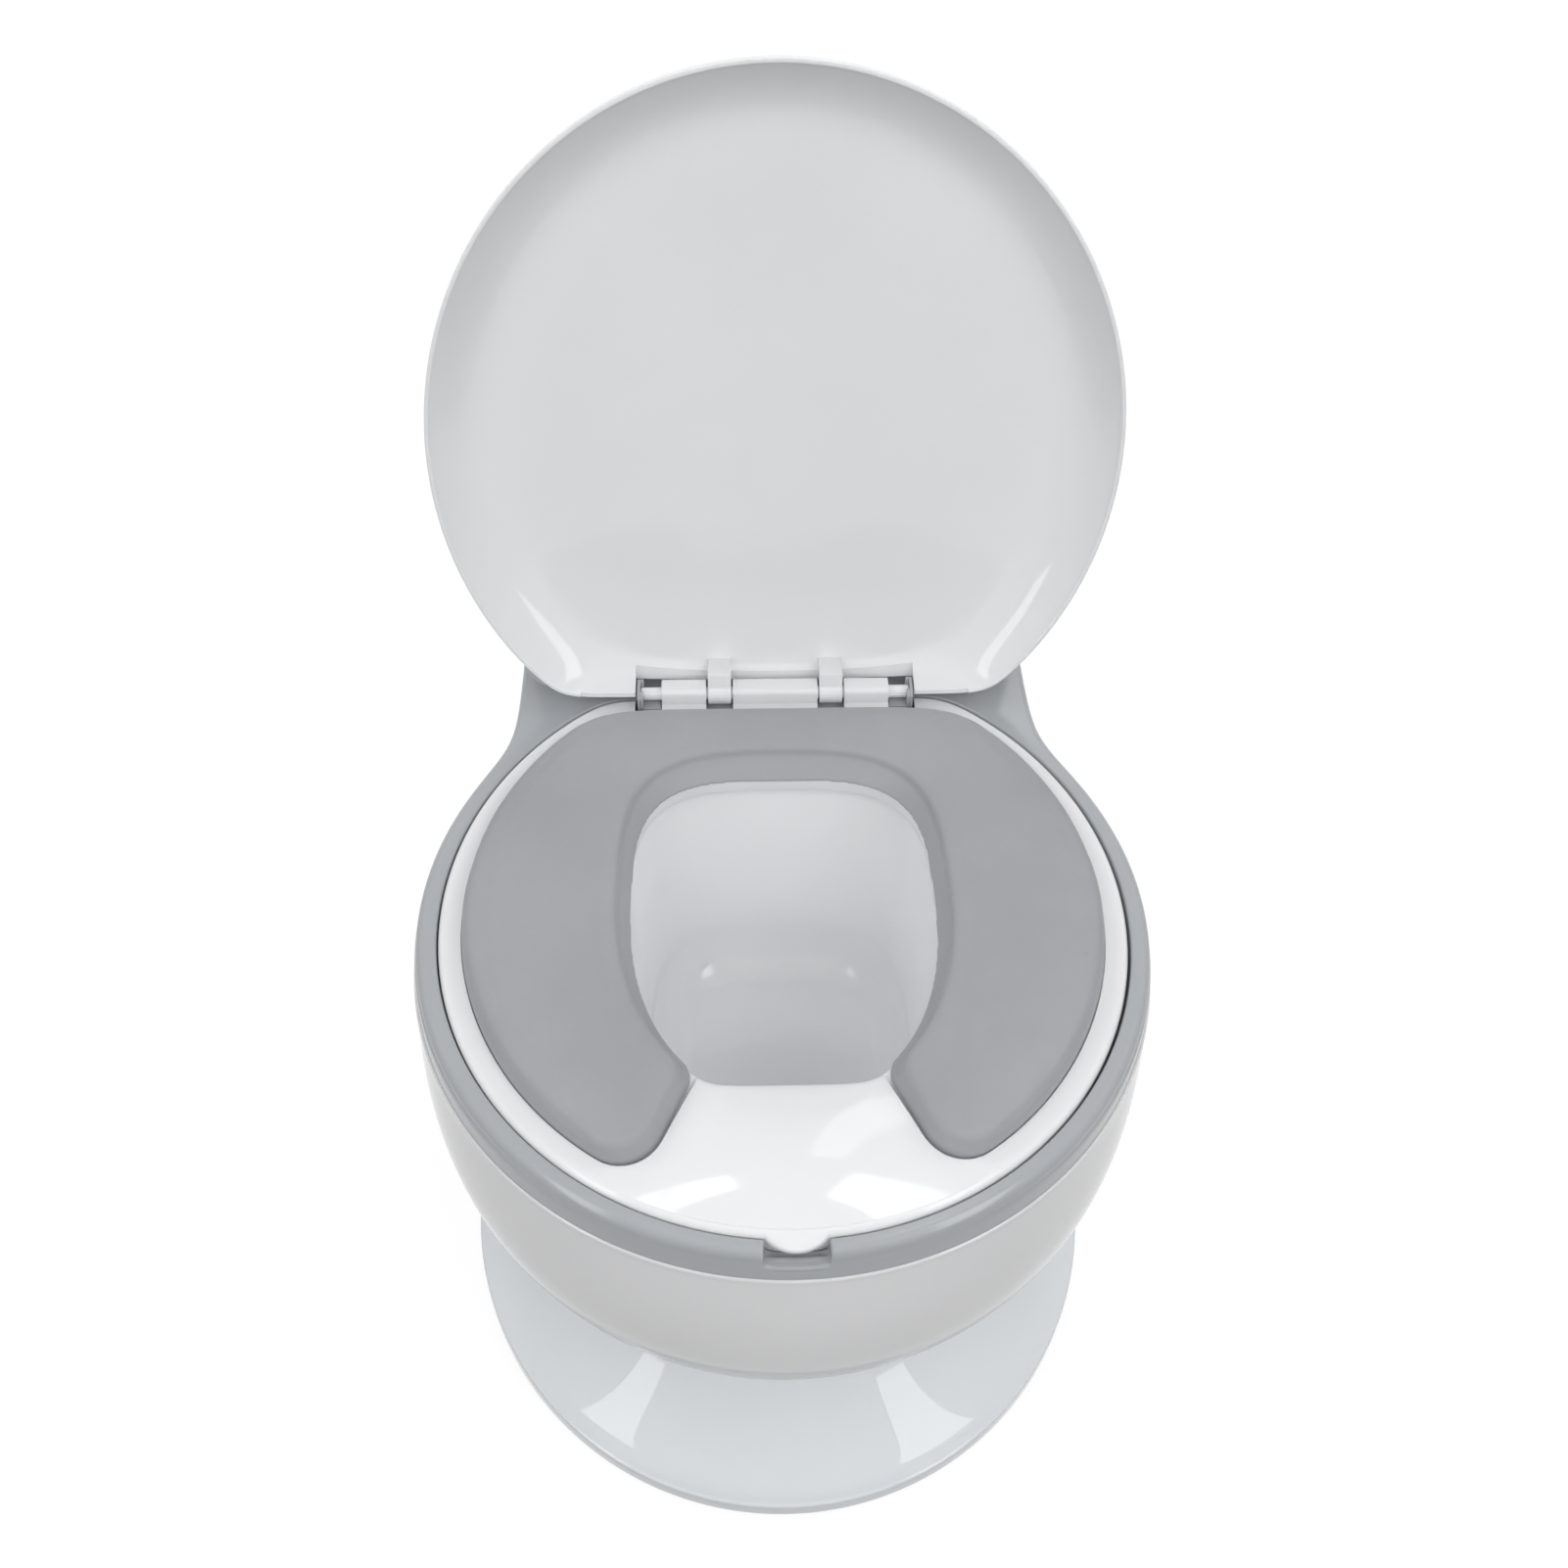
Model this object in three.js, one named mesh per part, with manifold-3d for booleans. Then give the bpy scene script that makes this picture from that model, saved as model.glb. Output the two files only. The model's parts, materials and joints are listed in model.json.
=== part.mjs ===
// A child's potty chair shaped like a small toilet: a white flared foot and bowl, a grey upper body with
// the rim, the deck and the tank in one moulding, a lift-out pot, a seat ring with a soft cushion, and a
// domed lid that stands open against the tank.
// Millimetres. Lengths along Y are measured from the middle of the seat ring, heights from the floor.
// +X is the user's left when seated, +Y points to the tank, +Z up.
import * as THREE from "three";
import { mergeVertices } from "three/addons/utils/BufferGeometryUtils.js";
import Module from "manifold-3d";

const wasm = await Module();
wasm.setup();

// Seat ring
const RING_HALF_WIDTH = 142.5;
const RING_HALF_LENGTH = 151;
const RING_BACK = 118;
const RING_EAR_LENGTH = 9.3;
const RING_TOP = 205;
const RING_PLATE = 2.8;
const RING_WALL = 2.5;
const RING_EDGE_RADIUS = 2.2;
const SPLASH_LIP = 9;
const APRON_DEPTH = 65.6;
const APRON_CROWN = 3.6;
const APRON_HALF_ANGLE = THREE.MathUtils.degToRad(24);
const RING_RIB_COUNT = 10;
const RING_RIB = 2;
const TAB_HALF_WIDTH = 9.8;
const TAB_LENGTH = 6;
const TAB_THICKNESS = 4.2;
const TAB_DROP = 1.4;

// Hole in the seat, as it shows below the cushion
const HOLE_HALF_WIDTH = 64;
const HOLE_BACK = 75.6;
const HOLE_TAPER_RUN = 9.1;
const HOLE_BACK_ROUNDNESS = 3.5;
const HOLE_FRONT_ROUNDNESS = 2.2;

// Cushion
const CUSHION_BORDER = 10;
const CUSHION_BACK_BORDER = 5.5;
const CUSHION_HEIGHT = 13.5;
const CUSHION_POCKET = 2;
const CUSHION_EDGE_RADIUS = 4.5;
const CUSHION_WALL_SLOPE = 5.5;
const CUSHION_CROWN = 0.8;
const CUSHION_CROWN_REACH = 9;
const CUSHION_FOOT_ROUND = 0.8;
const CUSHION_MOUTH_HALF_ANGLE = THREE.MathUtils.degToRad(24.2);
const CUSHION_TIP_RADIUS = 10;
const CUSHION_INNER_CORNER = 7;
const CUSHION_PEG_RADIUS = 3;
const CUSHION_PEG_LENGTH = 6;

// Hinge
const HINGE_BEHIND_RING = 8;
const HINGE_Z = 209;
const PIN_RADIUS = 3;
const KNUCKLE_HALF = 5.2;
const KNUCKLE_CORNER = 2.4;
const CENTRE_KNUCKLE_END = 19.5;
const ARM_WIDTH = 10.6;
const HINGE_GAP = 0.8;
const OUTER_KNUCKLE_END = 52.2;
const BRACKET_FLOOR_WIDTH = 8;
const BRACKET_WALL = 2.8;
const BRACKET_HEIGHT = 10.5;
const BRACKET_DEPTH = 13;
const PIN_BURIED = 6;
const KNUCKLE_WEB = 3.1;
const KNUCKLE_WEB_LENGTH = 11;
const KNUCKLE_LIFT = 0.5;
const LID_HINGE_ROOM = 9.5;
const LID_HINGE_REACH = 11;

// Lid
const LID_SIDE_OVERHANG = 4.9;
const LID_FRONT_OVERHANG = 8.9;
const LID_CENTRE_OFFSET = 5.6;
const LID_CHORD = 0.6;
const LID_LIP_DROP = 4.8;
const LID_HEIGHT = 19.3;
const LID_WALL = 2.5;
const LID_BEND = 17;
const LID_CHORD_BEND_POWER = 6;
const LID_LEAN = THREE.MathUtils.degToRad(12);
const LID_ARM_REACH = 11.5;
const LID_ARM_DROP = 3;
const LID_REST_GAP = 0.4;

// Upper body: rim, deck, tank
const RIM_SIDE_LAND = 10.9;
const RIM_FRONT_LAND = 6.8;
const RIM_TOP = 203.4;
const RIM_BAND_HEIGHT = 17.5;
const RIM_SIDE_FLARE = 2.6;
const RIM_FRONT_FLARE = 0.8;
const RIM_LEDGE = 0.6;
const RIM_LEDGE_DROP = 6.4;
const RIM_SHOULDER = 4;
const UPPER_WALL = 3;
const SEAT_CLEARANCE = 1.2;
const LEDGE_DROP = 11.4;
const LEDGE_THICKNESS = 2.5;
const NECK_HALF_WIDTH = 119;
const BODY_BEHIND_HINGE = 106;
const TANK_TOP = 328;
const TANK_TOP_HALF_WIDTH = 112;
const TANK_SIDE_INSET = 2;
const TANK_BACK_INSET = 3;
const TANK_TOP_BACK_INSET = 7;
const TANK_FILLET = 9;
const TANK_WALL = 2.6;
const NOTCH_HALF_WIDTH = 12;
const NOTCH_DEPTH = 9;
const NOTCH_CORNER = 5;
const NOTCH_WALL = 2.5;

// Tank cap
const CAP_HEIGHT = 11;
const CAP_OVERHANG = 1.5;
const CAP_PLATE = 3;
const CAP_SKIRT = 8;
const CAP_SKIRT_WALL = 2.2;
const CAP_EDGE_RADIUS = 4;

// Pot
const POT_MOUTH_MARGIN = 8;
const POT_FLANGE = 13;
const POT_FLANGE_THICKNESS = 2.5;
const POT_DEPTH = 106;
const POT_WALL = 2.4;
const POT_FLOOR_SHARE = 0.76;
const POT_FLOOR_RADIUS = 22;
const POT_GUIDE_CLEARANCE = 1.2;

// Bowl
const BOWL_SHOULDER_INSET = 0.5;
const BOWL_WAIST_Z = 55;
const BOWL_BOTTOM_Z = 47;
const BOWL_BULGE_SHARE = 0.04;
const BOWL_TUCK_SHARE = 0.396;
const BOWL_TUCK_POWER = 3.2;
const BOWL_FORWARD_LEAN = 15;
const BOWL_COLLAR_FLARE = 3;
const BOWL_WALL = 2.6;
const BOWL_LIP_HEIGHT = 3.5;
const BOWL_LIP_WALL = 2;
const BOWL_FLANGE = 16;
const BOWL_FLANGE_THICKNESS = 3;
const TRUNK_WAIST_HALF_WIDTH = 88;
const TRUNK_WAIST_SETBACK = 32;

// Foot
const FOOT_HALF_WIDTH = 144.2;
const FOOT_HALF_LENGTH = 154.5;
const FOOT_CENTRE_Y = -16.7;
const FOOT_BACK_HALF_WIDTH = 112;
const FOOT_SETBACK = 14;
const FOOT_EDGE_HEIGHT = 9.6;
const FOOT_EDGE_RADIUS = 4;
const FOOT_GROUND_GAP = 1;
const FOOT_TOP_STEP = 1.6;
const FOOT_WALL = 2.6;
const FOOT_FLANGE = 20;
const FOOT_FLARE_POWER = 1.7;
const FOOT_RIB_COUNT = 10;
const FOOT_RIB = 2;

// Pads and screws
const PAD_RADIUS = 9;
const PAD_THICKNESS = 3;
const PAD_CHAMFER = 0.8;
const PAD_STEM_RADIUS = 3;
const PAD_STEM_LENGTH = 5;
const PAD_BOSS_WALL = 2;
const PAD_INSET = 20;
const SCREW_RADIUS = 1.6;
const SCREW_LENGTH = 13;
const SCREW_HEAD_RADIUS = 3.6;
const SCREW_HEAD_HEIGHT = 2.4;
const SCREW_SOCKET_RADIUS = 1.3;
const SCREW_SOCKET_DEPTH = 1.4;
const BOSS_RADIUS = 4.6;
const POST_LENGTH = 12;
const LUG_THICKNESS = 3;
const LUG_WIDTH = 14;
const POST_INSET = 5.5;
const FOOT_BOSS_HEIGHT = 11;

// Gap left between pieces that touch, gap of a running fit, and how far a cutter runs past a face
const SEAT_GAP = 0.3;
const CUT = 5;

// Sharpness of the blends between the curves that make up an outline: higher is tighter
const NECK_BLEND_POWER = 24;
const CORNER_BLEND_POWER = 12;
const RING_CORNER_POWER = 50;
const CUSHION_CORNER_POWER = 22;
const LID_CORNER_POWER = 40;
const TANK_CORNER_POWER = 6;

// Counts of facets
const OUTLINE_FACETS = 40;
const TANK_FACETS = 32;
const ROUND_FACETS = 12;
const SCREW_FACETS = 8;
const ARC_STEPS = 3;
const CUSHION_INNER_FACETS = 16;
const CUSHION_OUTER_FACETS = 20;

// Angles of the screws and pads about the middle of the ring, from +X towards the tank
const POST_ANGLES = [32, 148, 200, 340, 242, 298].map(THREE.MathUtils.degToRad);
const FOOT_SCREW_ANGLES = [50, 130, 220, 320].map(THREE.MathUtils.degToRad);
const PAD_ANGLES = [62, 118, 232, 308].map(THREE.MathUtils.degToRad);
const PEG_ANGLES = [22.5, 67.5, 112.5, 157.5, 202.5, 337.5].map(THREE.MathUtils.degToRad);
const CORNER_FROM = THREE.MathUtils.degToRad(50);
const CORNER_TO = THREE.MathUtils.degToRad(75);

// Sizes and places that follow from the ones above
const RIM_HALF_WIDTH = RING_HALF_WIDTH + SEAT_CLEARANCE + RIM_SIDE_LAND;
const RIM_HALF_LENGTH = RING_HALF_LENGTH + SEAT_CLEARANCE + RIM_FRONT_LAND;
const HOLE_FRONT = RING_HALF_LENGTH - APRON_DEPTH;
const HOLE_TAPER_LENGTH = HOLE_FRONT + HOLE_TAPER_RUN;
const CUSHION_HALF_WIDTH = RING_HALF_WIDTH - CUSHION_BORDER;
const CUSHION_HALF_LENGTH = RING_HALF_LENGTH - CUSHION_BORDER;
const CUSHION_BACK = RING_BACK - CUSHION_BACK_BORDER;
const HINGE_Y = RING_BACK + HINGE_BEHIND_RING;
const LID_HALF_WIDTH = RING_HALF_WIDTH + LID_SIDE_OVERHANG;
const LID_HALF_LENGTH = RING_HALF_LENGTH + LID_FRONT_OVERHANG;
const LID_CENTRE_REACH = HINGE_Y - LID_CENTRE_OFFSET;
const BODY_BACK = HINGE_Y + BODY_BEHIND_HINGE;
const TRUNK_WAIST_BACK = BODY_BACK - TRUNK_WAIST_SETBACK;
const FOOT_BACK = BODY_BACK - FOOT_SETBACK;
const LEDGE_TOP = RIM_TOP - LEDGE_DROP;
const LEDGE_BOTTOM = LEDGE_TOP - LEDGE_THICKNESS;
const RIM_BOTTOM = RIM_TOP - RIM_BAND_HEIGHT;
const BOWL_TOP = RIM_BOTTOM - SEAT_GAP;
const POCKET_TOP = RING_TOP - CUSHION_POCKET;
const CUSHION_BOTTOM = POCKET_TOP + SEAT_GAP;
const PIN_BORE = PIN_RADIUS + SEAT_GAP;
const ARM_START = CENTRE_KNUCKLE_END + HINGE_GAP;
const ARM_END = ARM_START + ARM_WIDTH;
const OUTER_KNUCKLE_START = ARM_END + HINGE_GAP;
const BRACKET_START = OUTER_KNUCKLE_END + SEAT_GAP;
const BRACKET_WALL_START = BRACKET_START + BRACKET_FLOOR_WIDTH;
const BRACKET_END = BRACKET_WALL_START + BRACKET_WALL;
const LID_OUTER_FACE = LID_HEIGHT - LID_LIP_DROP;
const CAP_FRONT_REACH = LID_OUTER_FACE + LID_REST_GAP;
const TANK_FRONT_REACH = CAP_FRONT_REACH + CAP_OVERHANG;

// Outlines

function ellipseRadius(halfWidth, halfLength, angle) {
  return 1 / Math.hypot(Math.cos(angle) / halfWidth, Math.sin(angle) / halfLength);
}

function roundedRadius(halfWidth, halfLength, roundness, angle) {
  const across = Math.abs(Math.cos(angle) / halfWidth) ** roundness;
  const along = Math.abs(Math.sin(angle) / halfLength) ** roundness;
  return (across + along) ** (-1 / roundness);
}

function softMin(power, ...radii) {
  return radii.reduce((sum, radius) => sum + radius ** -power, 0) ** (-1 / power);
}

function softMax(power, ...radii) {
  return radii.reduce((sum, radius) => sum + radius ** power, 0) ** (1 / power);
}

// Distance from the centre to a straight edge that lies across +Y (reach > 0) or -Y (reach < 0).
function edgeRadius(reach, angle) {
  const towards = Math.sin(angle) * Math.sign(reach);
  return towards > 0 ? Math.abs(reach) / towards : Infinity;
}

// The ring's outline as if its two ears met behind the hinge.
function seatRadius(angle) {
  const round = ellipseRadius(RING_HALF_WIDTH, RING_HALF_LENGTH, angle);
  return softMin(RING_CORNER_POWER, round, edgeRadius(RING_BACK + RING_EAR_LENGTH, angle));
}

function holeRadius(angle) {
  const back = Math.sin(angle) >= 0;
  const length = back ? HOLE_BACK : HOLE_TAPER_LENGTH;
  const roundness = back ? HOLE_BACK_ROUNDNESS : HOLE_FRONT_ROUNDNESS;
  const round = roundedRadius(HOLE_HALF_WIDTH, length, roundness, angle);
  return softMin(LID_CORNER_POWER, round, edgeRadius(-HOLE_FRONT, angle));
}

// An oval with a squared block behind it, the two blended where they meet.
function bodyRadius(halfWidth, halfLength, blockHalfWidth, blockBack, angle) {
  const side = blockHalfWidth / Math.abs(Math.cos(angle));
  const end = Math.sin(angle) >= 0 ? edgeRadius(blockBack, angle) : edgeRadius(-halfLength, angle);
  const block = softMin(CORNER_BLEND_POWER, side, end);
  const oval = ellipseRadius(halfWidth, halfLength, angle);
  return Math.sin(angle) >= 0 ? softMax(NECK_BLEND_POWER, oval, block) : oval;
}

function rimRadius(angle) {
  return bodyRadius(RIM_HALF_WIDTH, RIM_HALF_LENGTH, NECK_HALF_WIDTH, BODY_BACK, angle);
}

// The rim's rounded top, above the band that flares down to the bowl, most at the sides.
function crownRadius(angle) {
  const halfWidth = RIM_HALF_WIDTH - RIM_SIDE_FLARE;
  const halfLength = RIM_HALF_LENGTH - RIM_FRONT_FLARE;
  const neck = NECK_HALF_WIDTH - RIM_FRONT_FLARE;
  return bodyRadius(halfWidth, halfLength, neck, BODY_BACK - RIM_FRONT_FLARE, angle);
}

// The bowl's outline at a share of the way down from its shoulder to its waist.
function bowlSection(share) {
  const swell = 1 + BOWL_BULGE_SHARE * share - BOWL_TUCK_SHARE * share ** BOWL_TUCK_POWER;
  const shoulder = RIM_HALF_WIDTH - BOWL_SHOULDER_INSET;
  const shoulderLength = RIM_HALF_LENGTH - BOWL_SHOULDER_INSET;
  const trunk = THREE.MathUtils.lerp(NECK_HALF_WIDTH - BOWL_SHOULDER_INSET, TRUNK_WAIST_HALF_WIDTH, share);
  const back = THREE.MathUtils.lerp(BODY_BACK - BOWL_SHOULDER_INSET, TRUNK_WAIST_BACK, share);
  const centre = -BOWL_FORWARD_LEAN * share;
  return {
    centre,
    radius: (angle) => bodyRadius(shoulder * swell, shoulderLength * swell, trunk, back - centre, angle),
  };
}

// The foot's outline at a share of the way out from its top to its edge.
function footSection(share) {
  const waist = bowlSection(1);
  const grown = BOWL_COLLAR_FLARE + FOOT_TOP_STEP;
  const centre = THREE.MathUtils.lerp(waist.centre, FOOT_CENTRE_Y, share);
  const top = (angle) => waist.radius(angle) + grown;
  const back = FOOT_BACK - FOOT_CENTRE_Y;
  const edge = (angle) =>
    bodyRadius(FOOT_HALF_WIDTH, FOOT_HALF_LENGTH, FOOT_BACK_HALF_WIDTH, back, angle);
  return { centre, radius: (angle) => THREE.MathUtils.lerp(top(angle), edge(angle), share) };
}

// The same angle on the +X side of the outline, which is symmetric.
function mirroredAngle(angle) {
  return angle > Math.PI / 2 ? Math.PI - angle : angle;
}

// Angles of the facets round an outline, closer together at the two back corners.
function outlineAngles() {
  const angles = [];
  const step = (2 * Math.PI) / OUTLINE_FACETS;
  for (let i = 0; i < OUTLINE_FACETS; i++) {
    const angle = i * step - Math.PI / 2;
    angles.push(angle);
    const middle = angle + step / 2;
    const fromSide = mirroredAngle(middle);
    if (fromSide > CORNER_FROM && fromSide < CORNER_TO) angles.push(middle);
  }
  return angles;
}
const ANGLES = outlineAngles();

// Rings, skins and solids

function levelRing(radiusAt, z, { grow = 0, centre = 0, angles = ANGLES } = {}) {
  return angles.map((angle) => {
    const radius = radiusAt(angle) + grow;
    return [radius * Math.cos(angle), centre + radius * Math.sin(angle), z];
  });
}

// A rounded rectangle whose facets gather at its corners.
function squaredRing(halfWidth, front, back, z) {
  const ring = [];
  const turn = 2 / TANK_CORNER_POWER;
  for (let i = 0; i < TANK_FACETS; i++) {
    const angle = ((i + 1 / 2) / TANK_FACETS) * 2 * Math.PI;
    const across = Math.sign(Math.cos(angle)) * Math.abs(Math.cos(angle)) ** turn;
    const along = Math.sign(Math.sin(angle)) * Math.abs(Math.sin(angle)) ** turn;
    ring.push([halfWidth * across, (front + back) / 2 + ((back - front) / 2) * along, z]);
  }
  return ring;
}

// The solid inside a skin stretched over rings of points. A looped skin joins its last ring to its
// first, as a tube bent into a ring does; any other is closed with a flat face at each end.
function skinned(rings, looped = false) {
  const count = rings[0].length;
  const faces = [];
  const joints = looped ? rings.length : rings.length - 1;
  for (let k = 0; k < joints; k++) {
    const here = k * count;
    const there = ((k + 1) % rings.length) * count;
    for (let i = 0; i < count; i++) {
      const j = (i + 1) % count;
      faces.push([here + i, here + j, there + j]);
      faces.push([here + i, there + j, there + i]);
    }
  }
  if (!looped) {
    faces.push(...endFaces(rings[0], 0).map(([a, b, c]) => [a, c, b]));
    faces.push(...endFaces(rings.at(-1), (rings.length - 1) * count));
  }
  return solidOf(rings.flat(), faces);
}

function endFaces(ring, start) {
  const contour = ring.map(([x, y]) => new THREE.Vector2(x, y));
  const clockwise = THREE.ShapeUtils.isClockWise(contour);
  if (clockwise) contour.reverse();
  const index = (i) => start + (clockwise ? ring.length - 1 - i : i);
  return THREE.ShapeUtils.triangulateShape(contour, []).map(([a, b, c]) =>
    clockwise ? [index(c), index(b), index(a)] : [index(a), index(b), index(c)],
  );
}

function solidOf(points, faces) {
  let volume = 0;
  const [a, b, c] = [new THREE.Vector3(), new THREE.Vector3(), new THREE.Vector3()];
  for (const face of faces) {
    a.set(...points[face[0]]);
    b.set(...points[face[1]]);
    c.set(...points[face[2]]);
    volume += a.dot(b.cross(c));
  }
  const facing = volume < 0 ? faces.map(([i, j, k]) => [i, k, j]) : faces;
  return new wasm.Manifold(
    new wasm.Mesh({
      numProp: 3,
      vertProperties: new Float32Array(points.flat()),
      triVerts: new Uint32Array(facing.flat()),
    }),
  );
}

function solidFrom(geometry) {
  const bare = geometry.clone();
  bare.deleteAttribute("normal");
  bare.deleteAttribute("uv");
  const merged = mergeVertices(bare);
  return new wasm.Manifold(
    new wasm.Mesh({
      numProp: 3,
      vertProperties: merged.attributes.position.array,
      triVerts: new Uint32Array(merged.index.array),
    }),
  );
}

function block(x0, x1, y0, y1, z0, z1) {
  const geometry = new THREE.BoxGeometry(x1 - x0, y1 - y0, z1 - z0);
  return solidFrom(geometry.translate((x0 + x1) / 2, (y0 + y1) / 2, (z0 + z1) / 2));
}

function upright(radius, x, y, z0, z1) {
  const geometry = new THREE.CylinderGeometry(radius, radius, z1 - z0, ROUND_FACETS);
  return solidFrom(geometry.rotateX(Math.PI / 2).translate(x, y, (z0 + z1) / 2));
}

function crosswise(radius, x0, x1, y, z, facets = ROUND_FACETS) {
  const geometry = new THREE.CylinderGeometry(radius, radius, x1 - x0, facets);
  return solidFrom(geometry.rotateZ(Math.PI / 2).translate((x0 + x1) / 2, y, z));
}

// A flat outline, drawn with its first axis along Y and its second along Z, carried across X.
function acrossX(shape, x0, x1) {
  const geometry = new THREE.ExtrudeGeometry(shape, {
    depth: x1 - x0,
    bevelEnabled: false,
    curveSegments: ARC_STEPS,
  });
  geometry.rotateY(Math.PI / 2).rotateX(Math.PI / 2);
  return solidFrom(geometry.translate(x0, 0, 0));
}

// A thin upright wall that runs out from the centre at an angle.
function spoke(angle, thickness, r0, r1, centre, z0, z1) {
  const geometry = new THREE.BoxGeometry(r1 - r0, thickness, z1 - z0);
  geometry.translate((r0 + r1) / 2, 0, (z0 + z1) / 2).rotateZ(angle);
  return solidFrom(geometry.translate(0, centre, 0));
}

function bothSides(make) {
  return [-1, 1].map(make);
}

function joined(first, ...others) {
  return others.reduce((sum, solid) => sum.add(solid), first);
}

function cut(solid, ...cutters) {
  return cutters.reduce((rest, cutter) => rest.subtract(cutter), solid);
}

function around(angle, radius, centre = 0) {
  return [radius * Math.cos(angle), centre + radius * Math.sin(angle)];
}

// Points of a quarter round from one offset and height to another; the first leg is upright.
function quarter(from, to) {
  const points = [];
  for (let i = 1; i <= ARC_STEPS; i++) {
    const turn = ((i / ARC_STEPS) * Math.PI) / 2;
    points.push([
      from[0] + (to[0] - from[0]) * (1 - Math.cos(turn)),
      from[1] + (to[1] - from[1]) * Math.sin(turn),
    ]);
  }
  return points;
}

// Materials

function plastic(color, roughness) {
  return new THREE.MeshStandardMaterial({ color, roughness, metalness: 0 });
}
const white = () => plastic(0xe9eaec, 0.16);
const footWhite = () => plastic(0xe2e6ea, 0.14);
const grey = () => plastic(0xa9acb2, 0.18);
const softGrey = () => plastic(0xa3a4a9, 0.7);
const rubber = () => plastic(0x55575b, 0.85);
const steel = () => new THREE.MeshStandardMaterial({ color: 0xb9bcc0, roughness: 0.35, metalness: 1 });

const root = new THREE.Group();

function place(name, solid, material, parent = root) {
  const made = solid.getMesh();
  const geometry = new THREE.BufferGeometry();
  geometry.setAttribute("position", new THREE.BufferAttribute(made.vertProperties, 3));
  geometry.setIndex(new THREE.BufferAttribute(made.triVerts, 1));
  const mesh = new THREE.Mesh(geometry, material);
  mesh.name = name;
  parent.add(mesh);
  return mesh;
}

// Foot

function footRing(share, z, grow = 0) {
  const { centre, radius } = footSection(share);
  return levelRing(radius, z, { centre, grow });
}

// Height of the foot's top surface at a share of the way out.
function footHeight(share) {
  const rise = BOWL_BOTTOM_Z - SEAT_GAP - FOOT_EDGE_HEIGHT;
  return FOOT_EDGE_HEIGHT + rise * (1 - share) ** FOOT_FLARE_POWER;
}

const FOOT_SHARES = [0, 0.15, 0.36, 0.65, 1];
const FOOT_INNER_SHARES = [1, 0.5, 0.2, 0];

function footOuterRings() {
  const rings = FOOT_SHARES.map((share) => footRing(share, footHeight(share), -FOOT_EDGE_RADIUS * share));
  const edge = quarter([0, FOOT_EDGE_HEIGHT - FOOT_EDGE_RADIUS], [-FOOT_EDGE_RADIUS, FOOT_EDGE_HEIGHT]);
  edge.slice(0, -1).reverse().forEach(([grow, z]) => rings.push(footRing(1, z, grow)));
  rings.push(footRing(1, FOOT_GROUND_GAP));
  return rings;
}

// The foot's inside, from its lower edge up, drawn in from the outside by a wall.
function footInnerRings(wall) {
  const rings = [footRing(1, FOOT_GROUND_GAP, -wall)];
  rings.push(footRing(1, FOOT_EDGE_HEIGHT - FOOT_EDGE_RADIUS, -wall));
  FOOT_INNER_SHARES.forEach((share) => {
    const grow = -FOOT_EDGE_RADIUS * share - wall * (1 - share);
    rings.push(footRing(share, footHeight(share) - wall, grow));
  });
  return rings;
}

function padPlace(angle) {
  const { centre, radius } = footSection(1);
  return around(angle, radius(angle) - PAD_INSET, centre);
}

function footScrewPlace(angle) {
  const { centre, radius } = footSection(0);
  return around(angle, radius(angle) - (FOOT_FLANGE + BOWL_COLLAR_FLARE) / 2, centre);
}

function footBase() {
  const outer = footOuterRings();
  const inner = footInnerRings(FOOT_WALL);
  inner.push(footRing(0, footHeight(0) - FOOT_WALL, -FOOT_FLANGE));
  inner.push(footRing(0, footHeight(0), -FOOT_FLANGE));
  const inside = skinned(footInnerRings(FOOT_WALL / 2));
  const { centre, radius } = footSection(1);
  let solid = skinned([...outer, ...inner], true);
  const stiffeners = [];
  for (let i = 0; i < FOOT_RIB_COUNT; i++) {
    const angle = ((i + 1 / 2) / FOOT_RIB_COUNT) * 2 * Math.PI;
    const start = footSection(0).radius(angle) - FOOT_FLANGE;
    const low = FOOT_GROUND_GAP + FOOT_WALL;
    stiffeners.push(spoke(angle, FOOT_RIB, start, radius(angle) - FOOT_WALL / 2, centre, low, BOWL_BOTTOM_Z));
  }
  PAD_ANGLES.forEach((angle) => {
    const bossRadius = PAD_RADIUS + PAD_BOSS_WALL;
    stiffeners.push(upright(bossRadius, ...padPlace(angle), PAD_THICKNESS + SEAT_GAP, BOWL_BOTTOM_Z));
  });
  stiffeners.forEach((piece) => {
    solid = solid.add(piece.intersect(inside));
  });
  PAD_ANGLES.forEach((angle) => {
    const top = PAD_THICKNESS + PAD_STEM_LENGTH + 2 * SEAT_GAP;
    solid = solid.subtract(upright(PAD_STEM_RADIUS + SEAT_GAP, ...padPlace(angle), 0, top));
  });
  FOOT_SCREW_ANGLES.forEach((angle) => {
    const bore = upright(SCREW_RADIUS + SEAT_GAP, ...footScrewPlace(angle), 0, BOWL_BOTTOM_Z + CUT);
    const room = SCREW_HEAD_RADIUS + SEAT_GAP;
    const under = footHeight(0) - FOOT_WALL;
    solid = cut(solid, bore, upright(room, ...footScrewPlace(angle), 0, under));
  });
  return solid;
}

function pad() {
  const profile = [
    [0, 0],
    [PAD_RADIUS - PAD_CHAMFER, 0],
    [PAD_RADIUS, PAD_CHAMFER],
    [PAD_RADIUS, PAD_THICKNESS],
    [PAD_STEM_RADIUS, PAD_THICKNESS],
    [PAD_STEM_RADIUS, PAD_THICKNESS + PAD_STEM_LENGTH],
    [0, PAD_THICKNESS + PAD_STEM_LENGTH],
  ];
  return turned(profile, ROUND_FACETS);
}

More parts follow.
